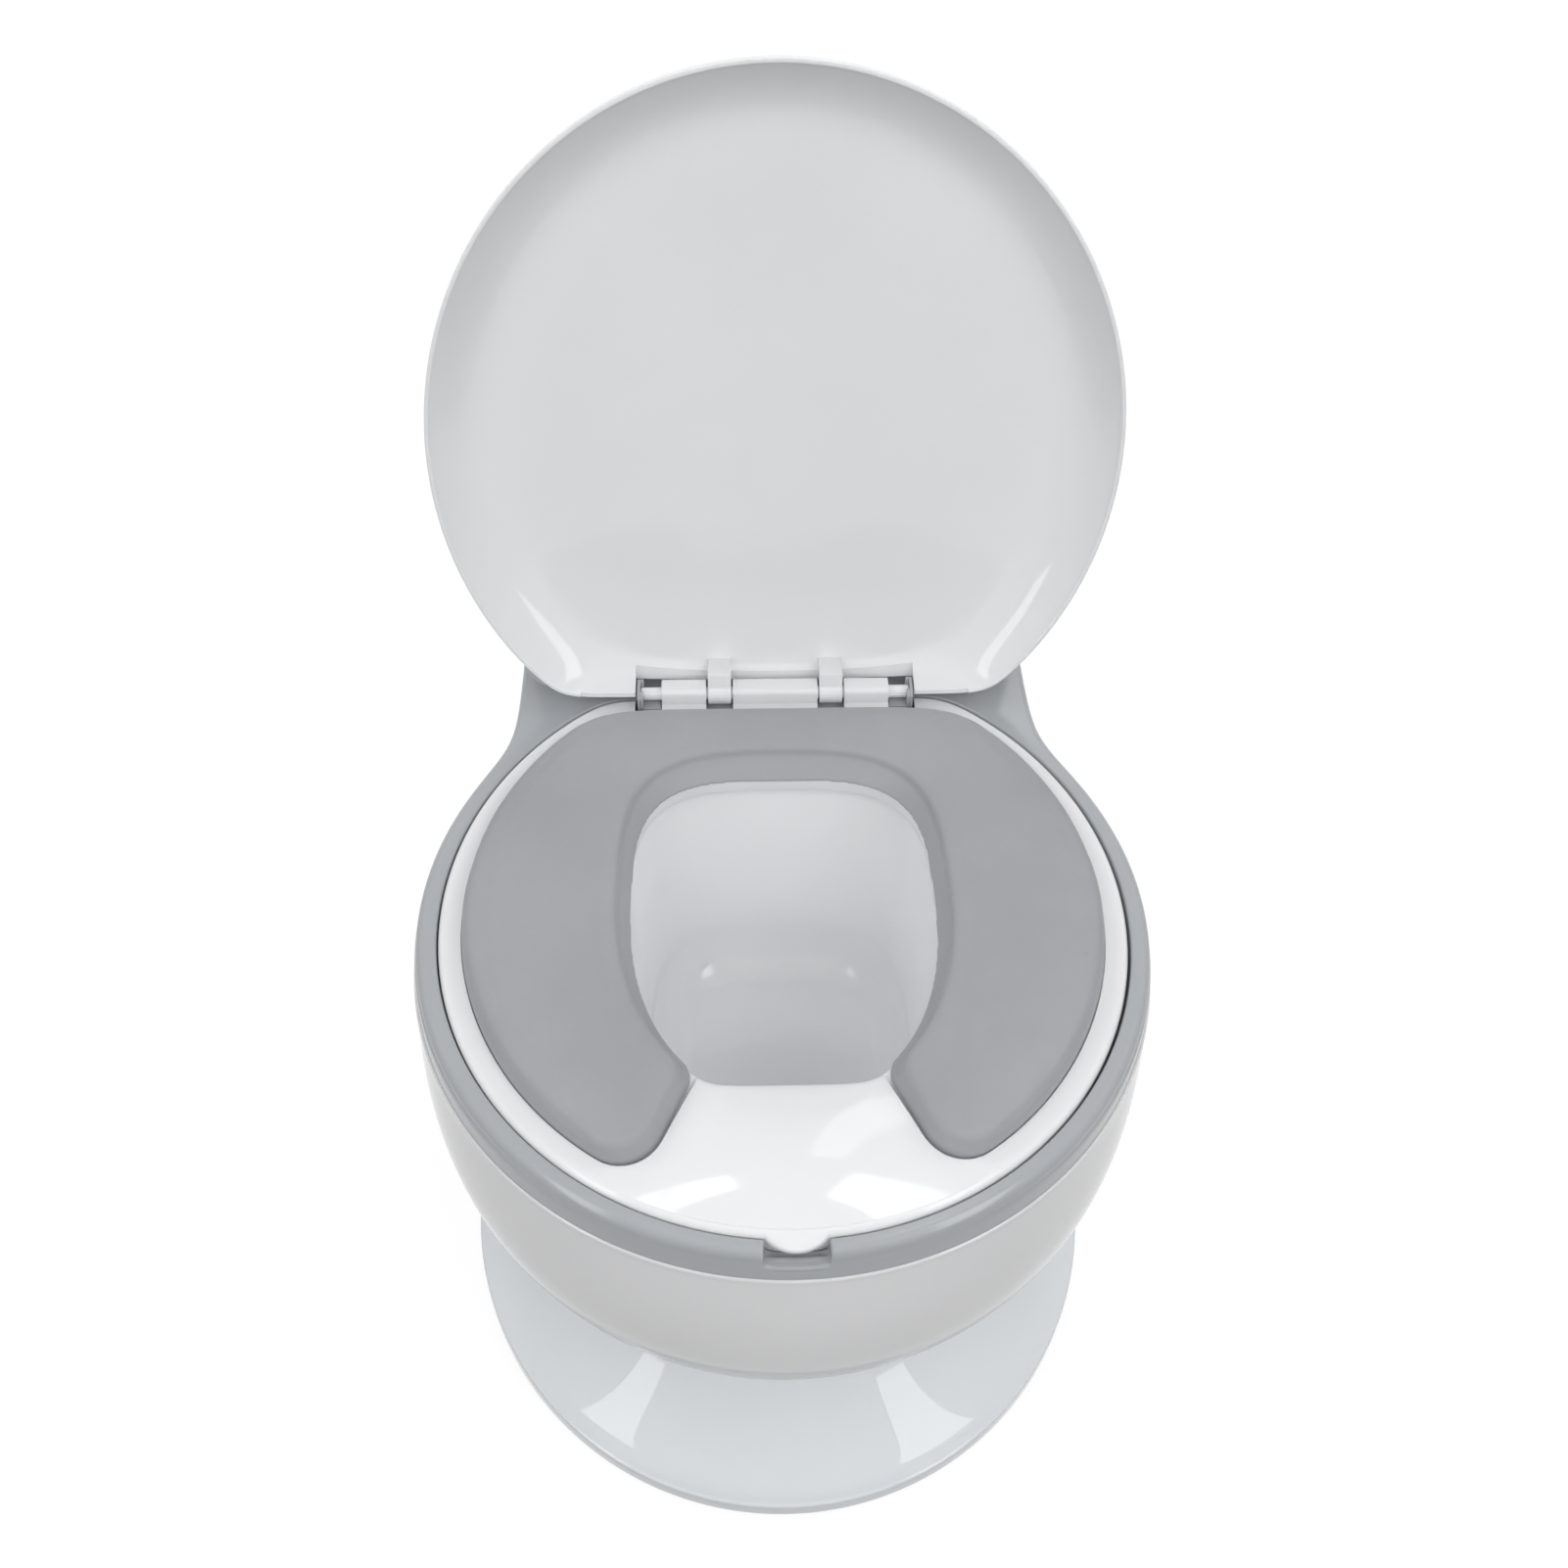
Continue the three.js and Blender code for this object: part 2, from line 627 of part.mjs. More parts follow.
function turned(profile, facets) {
  const points = profile.map(([radius, height]) => new THREE.Vector2(radius, height));
  return solidFrom(new THREE.LatheGeometry(points, facets).rotateX(Math.PI / 2));
}

// A pan-head screw with its head down and its shank up, standing on the head's bearing face.
function screw() {
  const profile = [
    [0, SCREW_SOCKET_DEPTH - SCREW_HEAD_HEIGHT],
    [SCREW_SOCKET_RADIUS, SCREW_SOCKET_DEPTH - SCREW_HEAD_HEIGHT],
    [SCREW_SOCKET_RADIUS, -SCREW_HEAD_HEIGHT],
    [SCREW_HEAD_RADIUS - SCREW_HEAD_HEIGHT / 2, -SCREW_HEAD_HEIGHT],
    [SCREW_HEAD_RADIUS, -SCREW_HEAD_HEIGHT / 2],
    [SCREW_HEAD_RADIUS, 0],
    [SCREW_RADIUS, 0],
    [SCREW_RADIUS, SCREW_LENGTH - SCREW_RADIUS],
    [0, SCREW_LENGTH],
  ];
  return turned(profile, SCREW_FACETS);
}

// Bowl

function bowlHeight(share) {
  return THREE.MathUtils.lerp(BOWL_TOP, BOWL_WAIST_Z, share);
}

function bowlRing(share, z, grow = 0) {
  const { centre, radius } = bowlSection(share);
  return levelRing(radius, z, { centre, grow });
}

const BOWL_SHARES = [0, 0.14, 0.3, 0.45, 0.6, 0.74, 0.88, 1];
const BOWL_INNER_SHARES = [1, 0.76, 0.45, 0.1];

function postPlace(angle) {
  return around(angle, ellipseRadius(RING_HALF_WIDTH, RING_HALF_LENGTH, angle) - POST_INSET);
}

function bowlOuterRings() {
  const rings = BOWL_SHARES.map((share) => bowlRing(share, bowlHeight(share)));
  rings.push(bowlRing(1, BOWL_BOTTOM_Z, BOWL_COLLAR_FLARE));
  return rings;
}

function bowlInnerRings(wall) {
  return BOWL_INNER_SHARES.map((share) => bowlRing(share, bowlHeight(share), -wall));
}

function bowlShell() {
  const lipOuter = BOWL_SHOULDER_INSET - UPPER_WALL - SEAT_GAP;
  const lipInner = lipOuter - BOWL_LIP_WALL;
  const outer = [bowlRing(0, BOWL_TOP + BOWL_LIP_HEIGHT, lipOuter), bowlRing(0, BOWL_TOP, lipOuter)];
  outer.push(...bowlOuterRings());
  const flangeTop = BOWL_BOTTOM_Z + BOWL_FLANGE_THICKNESS;
  const inner = [bowlRing(1, BOWL_BOTTOM_Z, -BOWL_FLANGE), bowlRing(1, flangeTop, -BOWL_FLANGE)];
  inner.push(bowlRing(1, flangeTop, -BOWL_WALL));
  inner.push(...bowlInnerRings(BOWL_WALL));
  inner.push(bowlRing(0, BOWL_TOP, lipInner), bowlRing(0, BOWL_TOP + BOWL_LIP_HEIGHT, lipInner));
  let solid = skinned([...outer, ...inner], true);
  const lowest = bowlRing(1, BOWL_BOTTOM_Z, -BOWL_WALL / 2);
  const inside = skinned([lowest, ...bowlInnerRings(BOWL_WALL / 2)]);
  const lugTop = LEDGE_BOTTOM - POST_LENGTH - SEAT_GAP;
  POST_ANGLES.forEach((angle) => {
    const reach = Math.hypot(...postPlace(angle));
    const start = reach - LUG_WIDTH / 2;
    const end = bowlSection(0).radius(angle) + CUT;
    const lug = spoke(angle, LUG_WIDTH, start, end, 0, lugTop - LUG_THICKNESS, lugTop);
    solid = solid.add(lug.intersect(inside));
    solid = solid.subtract(upright(SCREW_RADIUS + SEAT_GAP, ...postPlace(angle), lugTop - CUT, lugTop + CUT));
  });
  FOOT_SCREW_ANGLES.forEach((angle) => {
    const boss = upright(BOSS_RADIUS, ...footScrewPlace(angle), BOWL_BOTTOM_Z, flangeTop + FOOT_BOSS_HEIGHT);
    solid = solid.add(boss.intersect(inside));
    const top = flangeTop + FOOT_BOSS_HEIGHT + CUT;
    solid = solid.subtract(upright(SCREW_RADIUS + SEAT_GAP, ...footScrewPlace(angle), 0, top));
  });
  return solid;
}

// Upper body

const FILLET_SHARES = [0, 0.2, 0.5, 1];

// Where the tank's front face lies at a height: it leans back with the open lid, a set distance behind it.
function leaningFront(reach, z) {
  return HINGE_Y + reach / Math.cos(LID_LEAN) + (z - HINGE_Z) * Math.tan(LID_LEAN);
}

function tankRing(z, inset = 0) {
  const share = (z - RIM_TOP) / (TANK_TOP - RIM_TOP);
  const halfWidth = THREE.MathUtils.lerp(NECK_HALF_WIDTH - TANK_SIDE_INSET, TANK_TOP_HALF_WIDTH, share);
  const back = BODY_BACK - THREE.MathUtils.lerp(TANK_BACK_INSET, TANK_TOP_BACK_INSET, share);
  const above = Math.min(Math.max((z - RIM_TOP) / TANK_FILLET, 0), 1);
  const fillet = TANK_FILLET * (1 - Math.sqrt(1 - (1 - above) ** 2));
  const front = leaningFront(TANK_FRONT_REACH, z) - (inset ? 0 : fillet);
  return squaredRing(halfWidth - inset, front + inset, back - inset, z);
}

// The room between the ring's ears, where the hinge and its brackets stand.
function hingeRecess(grow, z0, z1) {
  const half = BRACKET_END + SEAT_CLEARANCE - grow;
  return block(-half, half, RING_BACK + grow, BODY_BACK, z0, z1);
}

function seatOpening(grow, z0, z1) {
  const outline = skinned([z0, z1].map((z) => levelRing(seatRadius, z, { grow })));
  return outline.subtract(hingeRecess(grow, z0 - CUT, z1 + CUT));
}

function notchShape() {
  const floor = RIM_TOP - NOTCH_DEPTH;
  const shape = new THREE.Shape();
  shape.moveTo(-NOTCH_HALF_WIDTH, RIM_TOP + CUT);
  shape.lineTo(-NOTCH_HALF_WIDTH, floor + NOTCH_CORNER);
  const turn = NOTCH_HALF_WIDTH - NOTCH_CORNER;
  shape.absarc(-turn, floor + NOTCH_CORNER, NOTCH_CORNER, Math.PI, 1.5 * Math.PI);
  shape.absarc(turn, floor + NOTCH_CORNER, NOTCH_CORNER, 1.5 * Math.PI, 2 * Math.PI);
  shape.lineTo(NOTCH_HALF_WIDTH, RIM_TOP + CUT);
  return shape;
}

// The finger notch in the front of the rim, cut from the seat outwards.
function notchCutter() {
  const geometry = new THREE.ExtrudeGeometry(notchShape(), {
    depth: RIM_HALF_LENGTH - RING_HALF_LENGTH + CUT,
    bevelEnabled: false,
    curveSegments: ARC_STEPS,
  });
  return solidFrom(geometry.rotateX(Math.PI / 2).translate(0, -RING_HALF_LENGTH, 0));
}

function bracket(side) {
  const front = HINGE_Y - BRACKET_DEPTH / 2;
  const back = HINGE_Y + BRACKET_DEPTH / 2;
  const span = (a, b) => (side > 0 ? [a, b] : [-b, -a]);
  const top = RIM_TOP + BRACKET_HEIGHT;
  const wall = block(...span(BRACKET_WALL_START, BRACKET_END), front, back, RIM_TOP - UPPER_WALL / 2, top);
  const floorTop = HINGE_Z - PIN_BORE;
  const floorSpan = span(BRACKET_START, BRACKET_WALL_START + BRACKET_WALL / 2);
  const floor = block(...floorSpan, front, back, RIM_TOP - UPPER_WALL / 2, floorTop);
  return [wall, floor];
}

// The open-topped slot that a hinge pin drops into.
function pinSlot() {
  const reach = BRACKET_WALL_START + BRACKET_WALL / 2;
  const round = crosswise(PIN_BORE, -reach, reach, HINGE_Y, HINGE_Z);
  const front = HINGE_Y - PIN_BORE;
  const back = HINGE_Y + PIN_BORE;
  const mouth = block(-reach, reach, front, back, HINGE_Z, HINGE_Z + BRACKET_HEIGHT);
  return round.add(mouth);
}

function upperBody() {
  const bandTop = RIM_TOP - RIM_LEDGE_DROP;
  const shoulderLow = [0, RIM_TOP - RIM_SHOULDER];
  const shoulder = quarter(shoulderLow, [-RIM_SHOULDER, RIM_TOP]);
  const crown = [[RIM_LEDGE, bandTop], [0, bandTop + RIM_LEDGE], shoulderLow, ...shoulder];
  const outer = skinned([
    levelRing(rimRadius, RIM_BOTTOM),
    ...crown.map(([grow, z]) => levelRing(crownRadius, z, { grow })),
  ]);
  const filletHeights = FILLET_SHARES.map((share) => RIM_TOP + TANK_FILLET * share);
  const tankHeights = [RIM_TOP - UPPER_WALL, ...filletHeights, TANK_TOP];
  const tank = skinned(tankHeights.map((z) => tankRing(z)));
  const tankHollow = skinned([RIM_BOTTOM - CUT, TANK_TOP + CUT].map((z) => tankRing(z, TANK_WALL)));
  const lidSweep = LID_OUTER_FACE + LID_REST_GAP + SEAT_GAP;
  const sweepHalf = LID_HALF_WIDTH * Math.sqrt(1 - ((LID_CENTRE_REACH - TANK_FILLET) / LID_HALF_LENGTH) ** 2);
  const sweepRoom = crosswise(lidSweep, -sweepHalf, sweepHalf, HINGE_Y, HINGE_Z, 2 * ROUND_FACETS);
  const sweepAbove = block(-sweepHalf, sweepHalf, 0, BODY_BACK, RIM_TOP, HINGE_Z + lidSweep);

  const grow = -UPPER_WALL;
  const aboveLip = BOWL_TOP + BOWL_LIP_HEIGHT + SEAT_GAP;
  const hollow = skinned([
    ...[RIM_BOTTOM - CUT, aboveLip].map((z) => levelRing(rimRadius, z, { grow })),
    ...[bandTop, RIM_TOP - UPPER_WALL].map((z) => levelRing(crownRadius, z, { grow })),
  ]);
  const kept = seatOpening(SEAT_CLEARANCE + RING_WALL, LEDGE_BOTTOM, RIM_TOP);
  const notchHalf = NOTCH_HALF_WIDTH + NOTCH_WALL;
  const notchFloor = RIM_TOP - NOTCH_DEPTH - NOTCH_WALL;
  const notchKept = block(-notchHalf, notchHalf, -RIM_HALF_LENGTH, -RING_HALF_LENGTH, notchFloor, RIM_TOP);
  let solid = cut(outer, cut(hollow, kept, notchKept));
  solid = solid.add(cut(tank, sweepRoom.intersect(sweepAbove)));
  solid = cut(solid, tankHollow.subtract(seatOpening(SEAT_CLEARANCE + RING_WALL, RIM_BOTTOM - CUT, RIM_TOP)));
  solid = cut(solid, seatOpening(SEAT_CLEARANCE, LEDGE_TOP, RIM_TOP + CUT));
  const potHole = POT_MOUTH_MARGIN + POT_WALL + POT_GUIDE_CLEARANCE;
  const holeLevels = [LEDGE_BOTTOM - CUT, LEDGE_TOP + CUT];
  solid = cut(solid, skinned(holeLevels.map((z) => levelRing(holeRadius, z, { grow: potHole }))));
  solid = cut(solid, notchCutter());
  bothSides(bracket).flat().forEach((piece) => {
    solid = solid.add(piece);
  });
  solid = cut(solid, pinSlot());
  POST_ANGLES.forEach((angle) => {
    const foot = LEDGE_BOTTOM - POST_LENGTH;
    solid = solid.add(upright(BOSS_RADIUS, ...postPlace(angle), foot, LEDGE_BOTTOM + LEDGE_THICKNESS / 2));
    solid = solid.subtract(upright(SCREW_RADIUS + SEAT_GAP, ...postPlace(angle), foot - CUT, LEDGE_BOTTOM));
  });
  return solid;
}

// Tank cap

function capRing(grow, z) {
  const halfWidth = TANK_TOP_HALF_WIDTH + grow;
  const front = leaningFront(TANK_FRONT_REACH, z) - grow;
  return squaredRing(halfWidth, front, BODY_BACK - TANK_TOP_BACK_INSET + grow, z);
}

function tankCap() {
  const bottom = TANK_TOP + SEAT_GAP;
  const top = bottom + CAP_HEIGHT;
  const skirtOuter = -TANK_WALL - SEAT_GAP;
  const skirtInner = skirtOuter - CAP_SKIRT_WALL;
  const edgeLow = [CAP_OVERHANG, top - CAP_EDGE_RADIUS];
  const edgeTop = [CAP_OVERHANG - CAP_EDGE_RADIUS, top];
  const profile = [
    [skirtInner, top - CAP_PLATE],
    [skirtInner, bottom - CAP_SKIRT],
    [skirtOuter, bottom - CAP_SKIRT],
    [skirtOuter, bottom],
    [CAP_OVERHANG, bottom],
    edgeLow,
    ...quarter(edgeLow, edgeTop),
  ];
  return skinned(profile.map(([grow, z]) => capRing(grow, z)));
}

// Pot

function potRing(grow, z, share = 1) {
  return levelRing((angle) => (holeRadius(angle) + POT_MOUTH_MARGIN) * share, z, { grow });
}

function pot() {
  const flangeBottom = LEDGE_TOP + SEAT_GAP;
  const flangeTop = flangeBottom + POT_FLANGE_THICKNESS;
  const floor = flangeTop - POT_DEPTH;
  const taper = (z) => THREE.MathUtils.lerp(POT_FLOOR_SHARE, 1, (z - floor) / (flangeTop - floor));
  const turnZ = floor + POT_FLOOR_RADIUS;
  const rings = [];
  const corner = [...quarter([0, turnZ], [-POT_FLOOR_RADIUS, floor])];
  corner.reverse().forEach(([grow, z]) => rings.push(potRing(grow, z, taper(turnZ))));
  rings.push(potRing(0, turnZ, taper(turnZ)));
  rings.push(potRing(0, flangeTop - POT_WALL, taper(flangeTop - POT_WALL)));
  rings.push(potRing(POT_WALL, flangeTop, 1));
  rings.push(potRing(POT_FLANGE, flangeTop, 1));
  rings.push(potRing(POT_FLANGE, flangeBottom, 1));
  rings.push(potRing(POT_WALL, flangeBottom, taper(flangeBottom)));
  rings.push(potRing(POT_WALL, turnZ, taper(turnZ)));
  const outerCorner = quarter([POT_WALL, turnZ], [-POT_FLOOR_RADIUS, floor - POT_WALL]);
  outerCorner.forEach(([grow, z]) => rings.push(potRing(grow, z, taper(turnZ))));
  return skinned(rings);
}

// Cushion

function cushionOuter(angle) {
  const round = ellipseRadius(CUSHION_HALF_WIDTH, CUSHION_HALF_LENGTH, angle);
  return softMin(CUSHION_CORNER_POWER, round, edgeRadius(CUSHION_BACK, angle));
}

// The cushion's outline at a height: a ring that is open over the apron, with rounded corners at its
// two ends. The outside, the hole and the ends are each drawn in by an amount of their own.
function cushionRing(z, outside, inside, ends) {
  const start = -Math.PI / 2 + CUSHION_MOUTH_HALF_ANGLE;
  const back = Math.PI / 2;
  const outer = (angle) => cushionOuter(angle) - outside;
  const inner = (angle) => holeRadius(angle) + inside;
  const half = [];
  const add = (angle, radius) => half.push([radius * Math.cos(angle), radius * Math.sin(angle), z]);
  const nose = start + (ends + CUSHION_INNER_CORNER) / inner(start);
  for (let i = 0; i <= CUSHION_INNER_FACETS; i++) {
    const angle = THREE.MathUtils.lerp(back, nose, i / CUSHION_INNER_FACETS);
    add(angle, inner(angle));
  }
  for (let i = 1; i <= ARC_STEPS; i++) {
    const bend = ((i / ARC_STEPS) * Math.PI) / 2;
    const angle = start + (ends + CUSHION_INNER_CORNER * (1 - Math.sin(bend))) / inner(start);
    add(angle, inner(angle) + CUSHION_INNER_CORNER * (1 - Math.cos(bend)));
  }
  for (let i = 0; i <= ARC_STEPS; i++) {
    const bend = ((i / ARC_STEPS) * Math.PI) / 2;
    const angle = start + (ends + CUSHION_TIP_RADIUS * (1 - Math.cos(bend))) / outer(start);
    add(angle, outer(angle) - CUSHION_TIP_RADIUS * (1 - Math.sin(bend)));
  }
  const tip = start + (ends + CUSHION_TIP_RADIUS) / outer(start);
  for (let i = 1; i <= CUSHION_OUTER_FACETS; i++) {
    const angle = THREE.MathUtils.lerp(tip, back, i / CUSHION_OUTER_FACETS);
    add(angle, outer(angle));
  }
  const otherHalf = half.slice(1, -1).reverse();
  return [...half, ...otherHalf.map(([x, y]) => [-x, y, z])];
}

function pegPlace(angle) {
  return around(angle, (holeRadius(angle) + cushionOuter(angle)) / 2);
}

function cushion() {
  const top = POCKET_TOP + CUSHION_HEIGHT;
  const shoulder = top - CUSHION_EDGE_RADIUS;
  const foot = CUSHION_FOOT_ROUND;
  const rings = [cushionRing(CUSHION_BOTTOM, foot, 0, foot), cushionRing(CUSHION_BOTTOM + foot, 0, 0, 0)];
  rings.push(cushionRing(shoulder, 0, CUSHION_WALL_SLOPE, foot));
  quarter([0, shoulder], [CUSHION_EDGE_RADIUS, top]).forEach(([inset, z]) => {
    rings.push(cushionRing(z, inset, CUSHION_WALL_SLOPE + inset, foot + inset));
  });
  const reach = CUSHION_EDGE_RADIUS + CUSHION_CROWN_REACH;
  rings.push(cushionRing(top + CUSHION_CROWN, reach, CUSHION_WALL_SLOPE + reach, foot + reach));
  const pegs = PEG_ANGLES.map((angle) => {
    return upright(CUSHION_PEG_RADIUS, ...pegPlace(angle), CUSHION_BOTTOM - CUSHION_PEG_LENGTH, shoulder);
  });
  return joined(skinned(rings), ...pegs);
}

// The recess in the ring that the cushion lies in.
function cushionPocket() {
  const room = 2 * SEAT_GAP;
  return skinned([POCKET_TOP, RING_TOP + CUSHION_HEIGHT].map((z) => cushionRing(z, -room, -CUT, -room)));
}

// Seat ring

// Height that the front of the ring rises above its band: most at the middle of the apron.
function apronRise(angle, share) {
  const off = (mirroredAngle(angle) + Math.PI / 2) / APRON_HALF_ANGLE;
  return APRON_CROWN * Math.exp(-off * off) * Math.sin(Math.PI * share);
}

const APRON_SHARES = [0.8, 0.5, 0.2];

function knuckleShape() {
  const half = KNUCKLE_HALF;
  const turn = half - KNUCKLE_CORNER;
  const shape = new THREE.Shape();
  shape.absarc(turn, turn, KNUCKLE_CORNER, 0, Math.PI / 2);
  shape.absarc(-turn, turn, KNUCKLE_CORNER, Math.PI / 2, Math.PI);
  shape.absarc(-turn, -turn, KNUCKLE_CORNER, Math.PI, 1.5 * Math.PI);
  shape.absarc(turn, -turn, KNUCKLE_CORNER, 1.5 * Math.PI, 2 * Math.PI);
  return shape;
}

// A hinge knuckle of the ring with the web that ties it to the ring's back edge.
function knuckle(x0, x1) {
  const eye = acrossX(knuckleShape(), x0, x1).translate([0, HINGE_Y, HINGE_Z]);
  const low = RIM_TOP + KNUCKLE_LIFT;
  return eye.add(block(x0, x1, HINGE_Y - KNUCKLE_WEB_LENGTH, HINGE_Y, low, low + KNUCKLE_WEB));
}

// The rounded tongue over the finger notch, by which the seat is lifted.
function frontTab() {
  const start = -RING_HALF_LENGTH + RING_WALL;
  const shape = new THREE.Shape();
  shape.moveTo(TAB_HALF_WIDTH, start);
  shape.lineTo(-TAB_HALF_WIDTH, start);
  shape.absellipse(0, start, TAB_HALF_WIDTH, RING_WALL + TAB_LENGTH, Math.PI, 2 * Math.PI);
  const geometry = new THREE.ExtrudeGeometry(shape, {
    depth: TAB_THICKNESS,
    bevelEnabled: false,
    curveSegments: 2 * ARC_STEPS,
  });
  return solidFrom(geometry.translate(0, 0, RING_TOP - TAB_DROP - TAB_THICKNESS));
}

function seatRing() {
  const under = POCKET_TOP - RING_PLATE;
  const skirtBottom = LEDGE_TOP + SEAT_GAP;
  const lipBottom = RING_TOP - SPLASH_LIP;
  const hole = (grow, z) => levelRing(holeRadius, z, { grow });
  const rim = (grow, z) => levelRing(seatRadius, z, { grow });
  const crowned = (share) =>
    ANGLES.map((angle) => {
      const radius = THREE.MathUtils.lerp(holeRadius(angle), seatRadius(angle), share);
      return [radius * Math.cos(angle), radius * Math.sin(angle), RING_TOP + apronRise(angle, share)];
    });
  const lipOuter = SEAT_GAP + RING_WALL;
  const rings = [rim(0, skirtBottom), rim(0, RING_TOP - RING_EDGE_RADIUS)];
  quarter([0, RING_TOP - RING_EDGE_RADIUS], [RING_EDGE_RADIUS, RING_TOP]).forEach(([inset, z]) => {
    rings.push(rim(-inset, z));
  });
  APRON_SHARES.forEach((share) => rings.push(crowned(share)));
  quarter([SEAT_GAP, RING_TOP - RING_WALL], [lipOuter, RING_TOP]).reverse().forEach(([grow, z]) => {
    rings.push(hole(grow, z));
  });
  rings.push(hole(SEAT_GAP, lipBottom), hole(lipOuter, lipBottom), hole(lipOuter, under));
  rings.push(rim(-RING_WALL, under), rim(-RING_WALL, skirtBottom));
  let solid = skinned(rings, true);

  const channelTop = under + RING_PLATE / 2;
  const channelRings = [rim(-RING_WALL / 2, channelTop), rim(-RING_WALL / 2, lipBottom)];
  channelRings.push(hole(RING_WALL, lipBottom), hole(RING_WALL, channelTop));
  const channel = skinned(channelRings, true);
  for (let i = 0; i < RING_RIB_COUNT; i++) {
    const angle = ((i + 1 / 2) / RING_RIB_COUNT) * 2 * Math.PI;
    const rib = spoke(angle, RING_RIB, holeRadius(angle) / 2, seatRadius(angle), 0, lipBottom, RING_TOP);
    solid = solid.add(rib.intersect(channel));
  }
  const wallTop = RING_TOP - RING_PLATE / 2;
  const within = skinned([skirtBottom, wallTop].map((z) => rim(-RING_WALL / 2, z)));
  solid = solid.add(within.intersect(hingeRecess(-RING_WALL, skirtBottom, wallTop)));
  solid = solid.subtract(hingeRecess(0, skirtBottom - CUT, RING_TOP + CUT));
  solid = solid.add(frontTab()).subtract(cushionPocket());
  PEG_ANGLES.forEach((angle) => {
    const bore = upright(CUSHION_PEG_RADIUS + SEAT_GAP, ...pegPlace(angle), lipBottom - CUT, RING_TOP);
    solid = solid.subtract(bore);
  });
  const outerKnuckles = [knuckle(OUTER_KNUCKLE_START, OUTER_KNUCKLE_END)];
  outerKnuckles.push(knuckle(-OUTER_KNUCKLE_END, -OUTER_KNUCKLE_START));
  solid = joined(solid, knuckle(-CENTRE_KNUCKLE_END, CENTRE_KNUCKLE_END), ...outerKnuckles);
  const boreEnd = CENTRE_KNUCKLE_END - PIN_BURIED - SEAT_GAP;
  const past = OUTER_KNUCKLE_END + CUT;
  return cut(
    solid,
    crosswise(PIN_BORE, boreEnd, past, HINGE_Y, HINGE_Z),
    crosswise(PIN_BORE, -past, -boreEnd, HINGE_Y, HINGE_Z),
  );
}

function hingePin(side) {
  const inner = CENTRE_KNUCKLE_END - PIN_BURIED;
  const outer = BRACKET_WALL_START + BRACKET_WALL / 2 - SEAT_GAP;
  const [x0, x1] = side > 0 ? [inner, outer] : [-outer, -inner];
  return crosswise(PIN_RADIUS, x0, x1, HINGE_Y, HINGE_Z);
}

// Lid, drawn lying closed with the hinge axis at its origin, and its front towards -Y

function lidRadius(angle) {
  const oval = ellipseRadius(LID_HALF_WIDTH, LID_HALF_LENGTH, angle);
  return softMin(LID_CORNER_POWER, oval, edgeRadius(LID_CENTRE_REACH - LID_CHORD, angle));
}

// A ring of the lid's skin, drawn in by a wall and by its share of the bend, which is tighter along
// the straight edge at the hinge.
function lidRing(wall, bend, z) {
  return ANGLES.map((angle) => {
    const radius = lidRadius(angle);
    const cutOff = radius / ellipseRadius(LID_HALF_WIDTH, LID_HALF_LENGTH, angle);
    const reach = radius - wall - bend * cutOff ** LID_CHORD_BEND_POWER;
    return [reach * Math.cos(angle), reach * Math.sin(angle) - LID_CENTRE_REACH, z];
  });
}

function armShape() {
  const panel = LID_OUTER_FACE - LID_WALL / 2;
  const meet = Math.PI + Math.asin(LID_ARM_DROP / KNUCKLE_HALF);
  const shape = new THREE.Shape();
  shape.moveTo(-LID_ARM_REACH, panel);
  shape.lineTo(-LID_ARM_REACH, -LID_ARM_DROP);
  shape.absarc(0, 0, KNUCKLE_HALF, meet, 2 * Math.PI);
  shape.lineTo(-LID_CHORD, panel);
  return shape;
}

function lidPanel() {
  const low = -LID_LIP_DROP;
  const outer = quarter([0, low + LID_WALL], [LID_BEND, LID_OUTER_FACE]);
  const inner = quarter([0, low], [LID_BEND - LID_WALL, LID_OUTER_FACE - LID_WALL]);
  const rings = [lidRing(0, 0, low), lidRing(0, 0, low + LID_WALL)];
  outer.forEach(([bend, z]) => rings.push(lidRing(0, bend, z)));
  const shell = [...rings].reverse();
  shell.push(lidRing(LID_WALL, 0, low));
  inner.forEach(([bend, z]) => shell.push(lidRing(LID_WALL, bend, z)));
  let solid = skinned(shell);
  const half = BRACKET_END + HINGE_GAP;
  const earHalf = RING_HALF_WIDTH * Math.sqrt(1 - (RING_BACK / RING_HALF_LENGTH) ** 2);
  const earTop = RING_TOP + SEAT_GAP - HINGE_Z;
  solid = cut(
    solid,
    block(-half, half, -LID_HINGE_REACH, LID_HINGE_REACH, -LID_HEIGHT, LID_HINGE_ROOM),
    block(-earHalf, earHalf, -HINGE_BEHIND_RING, CUT, -LID_HEIGHT, earTop),
  );
  solid = joined(
    solid,
    acrossX(armShape(), ARM_START, ARM_END),
    acrossX(armShape(), -ARM_END, -ARM_START),
  );
  return cut(solid, crosswise(PIN_BORE, -ARM_END - CUT, ARM_END + CUT, 0, 0));
}

// Assembly

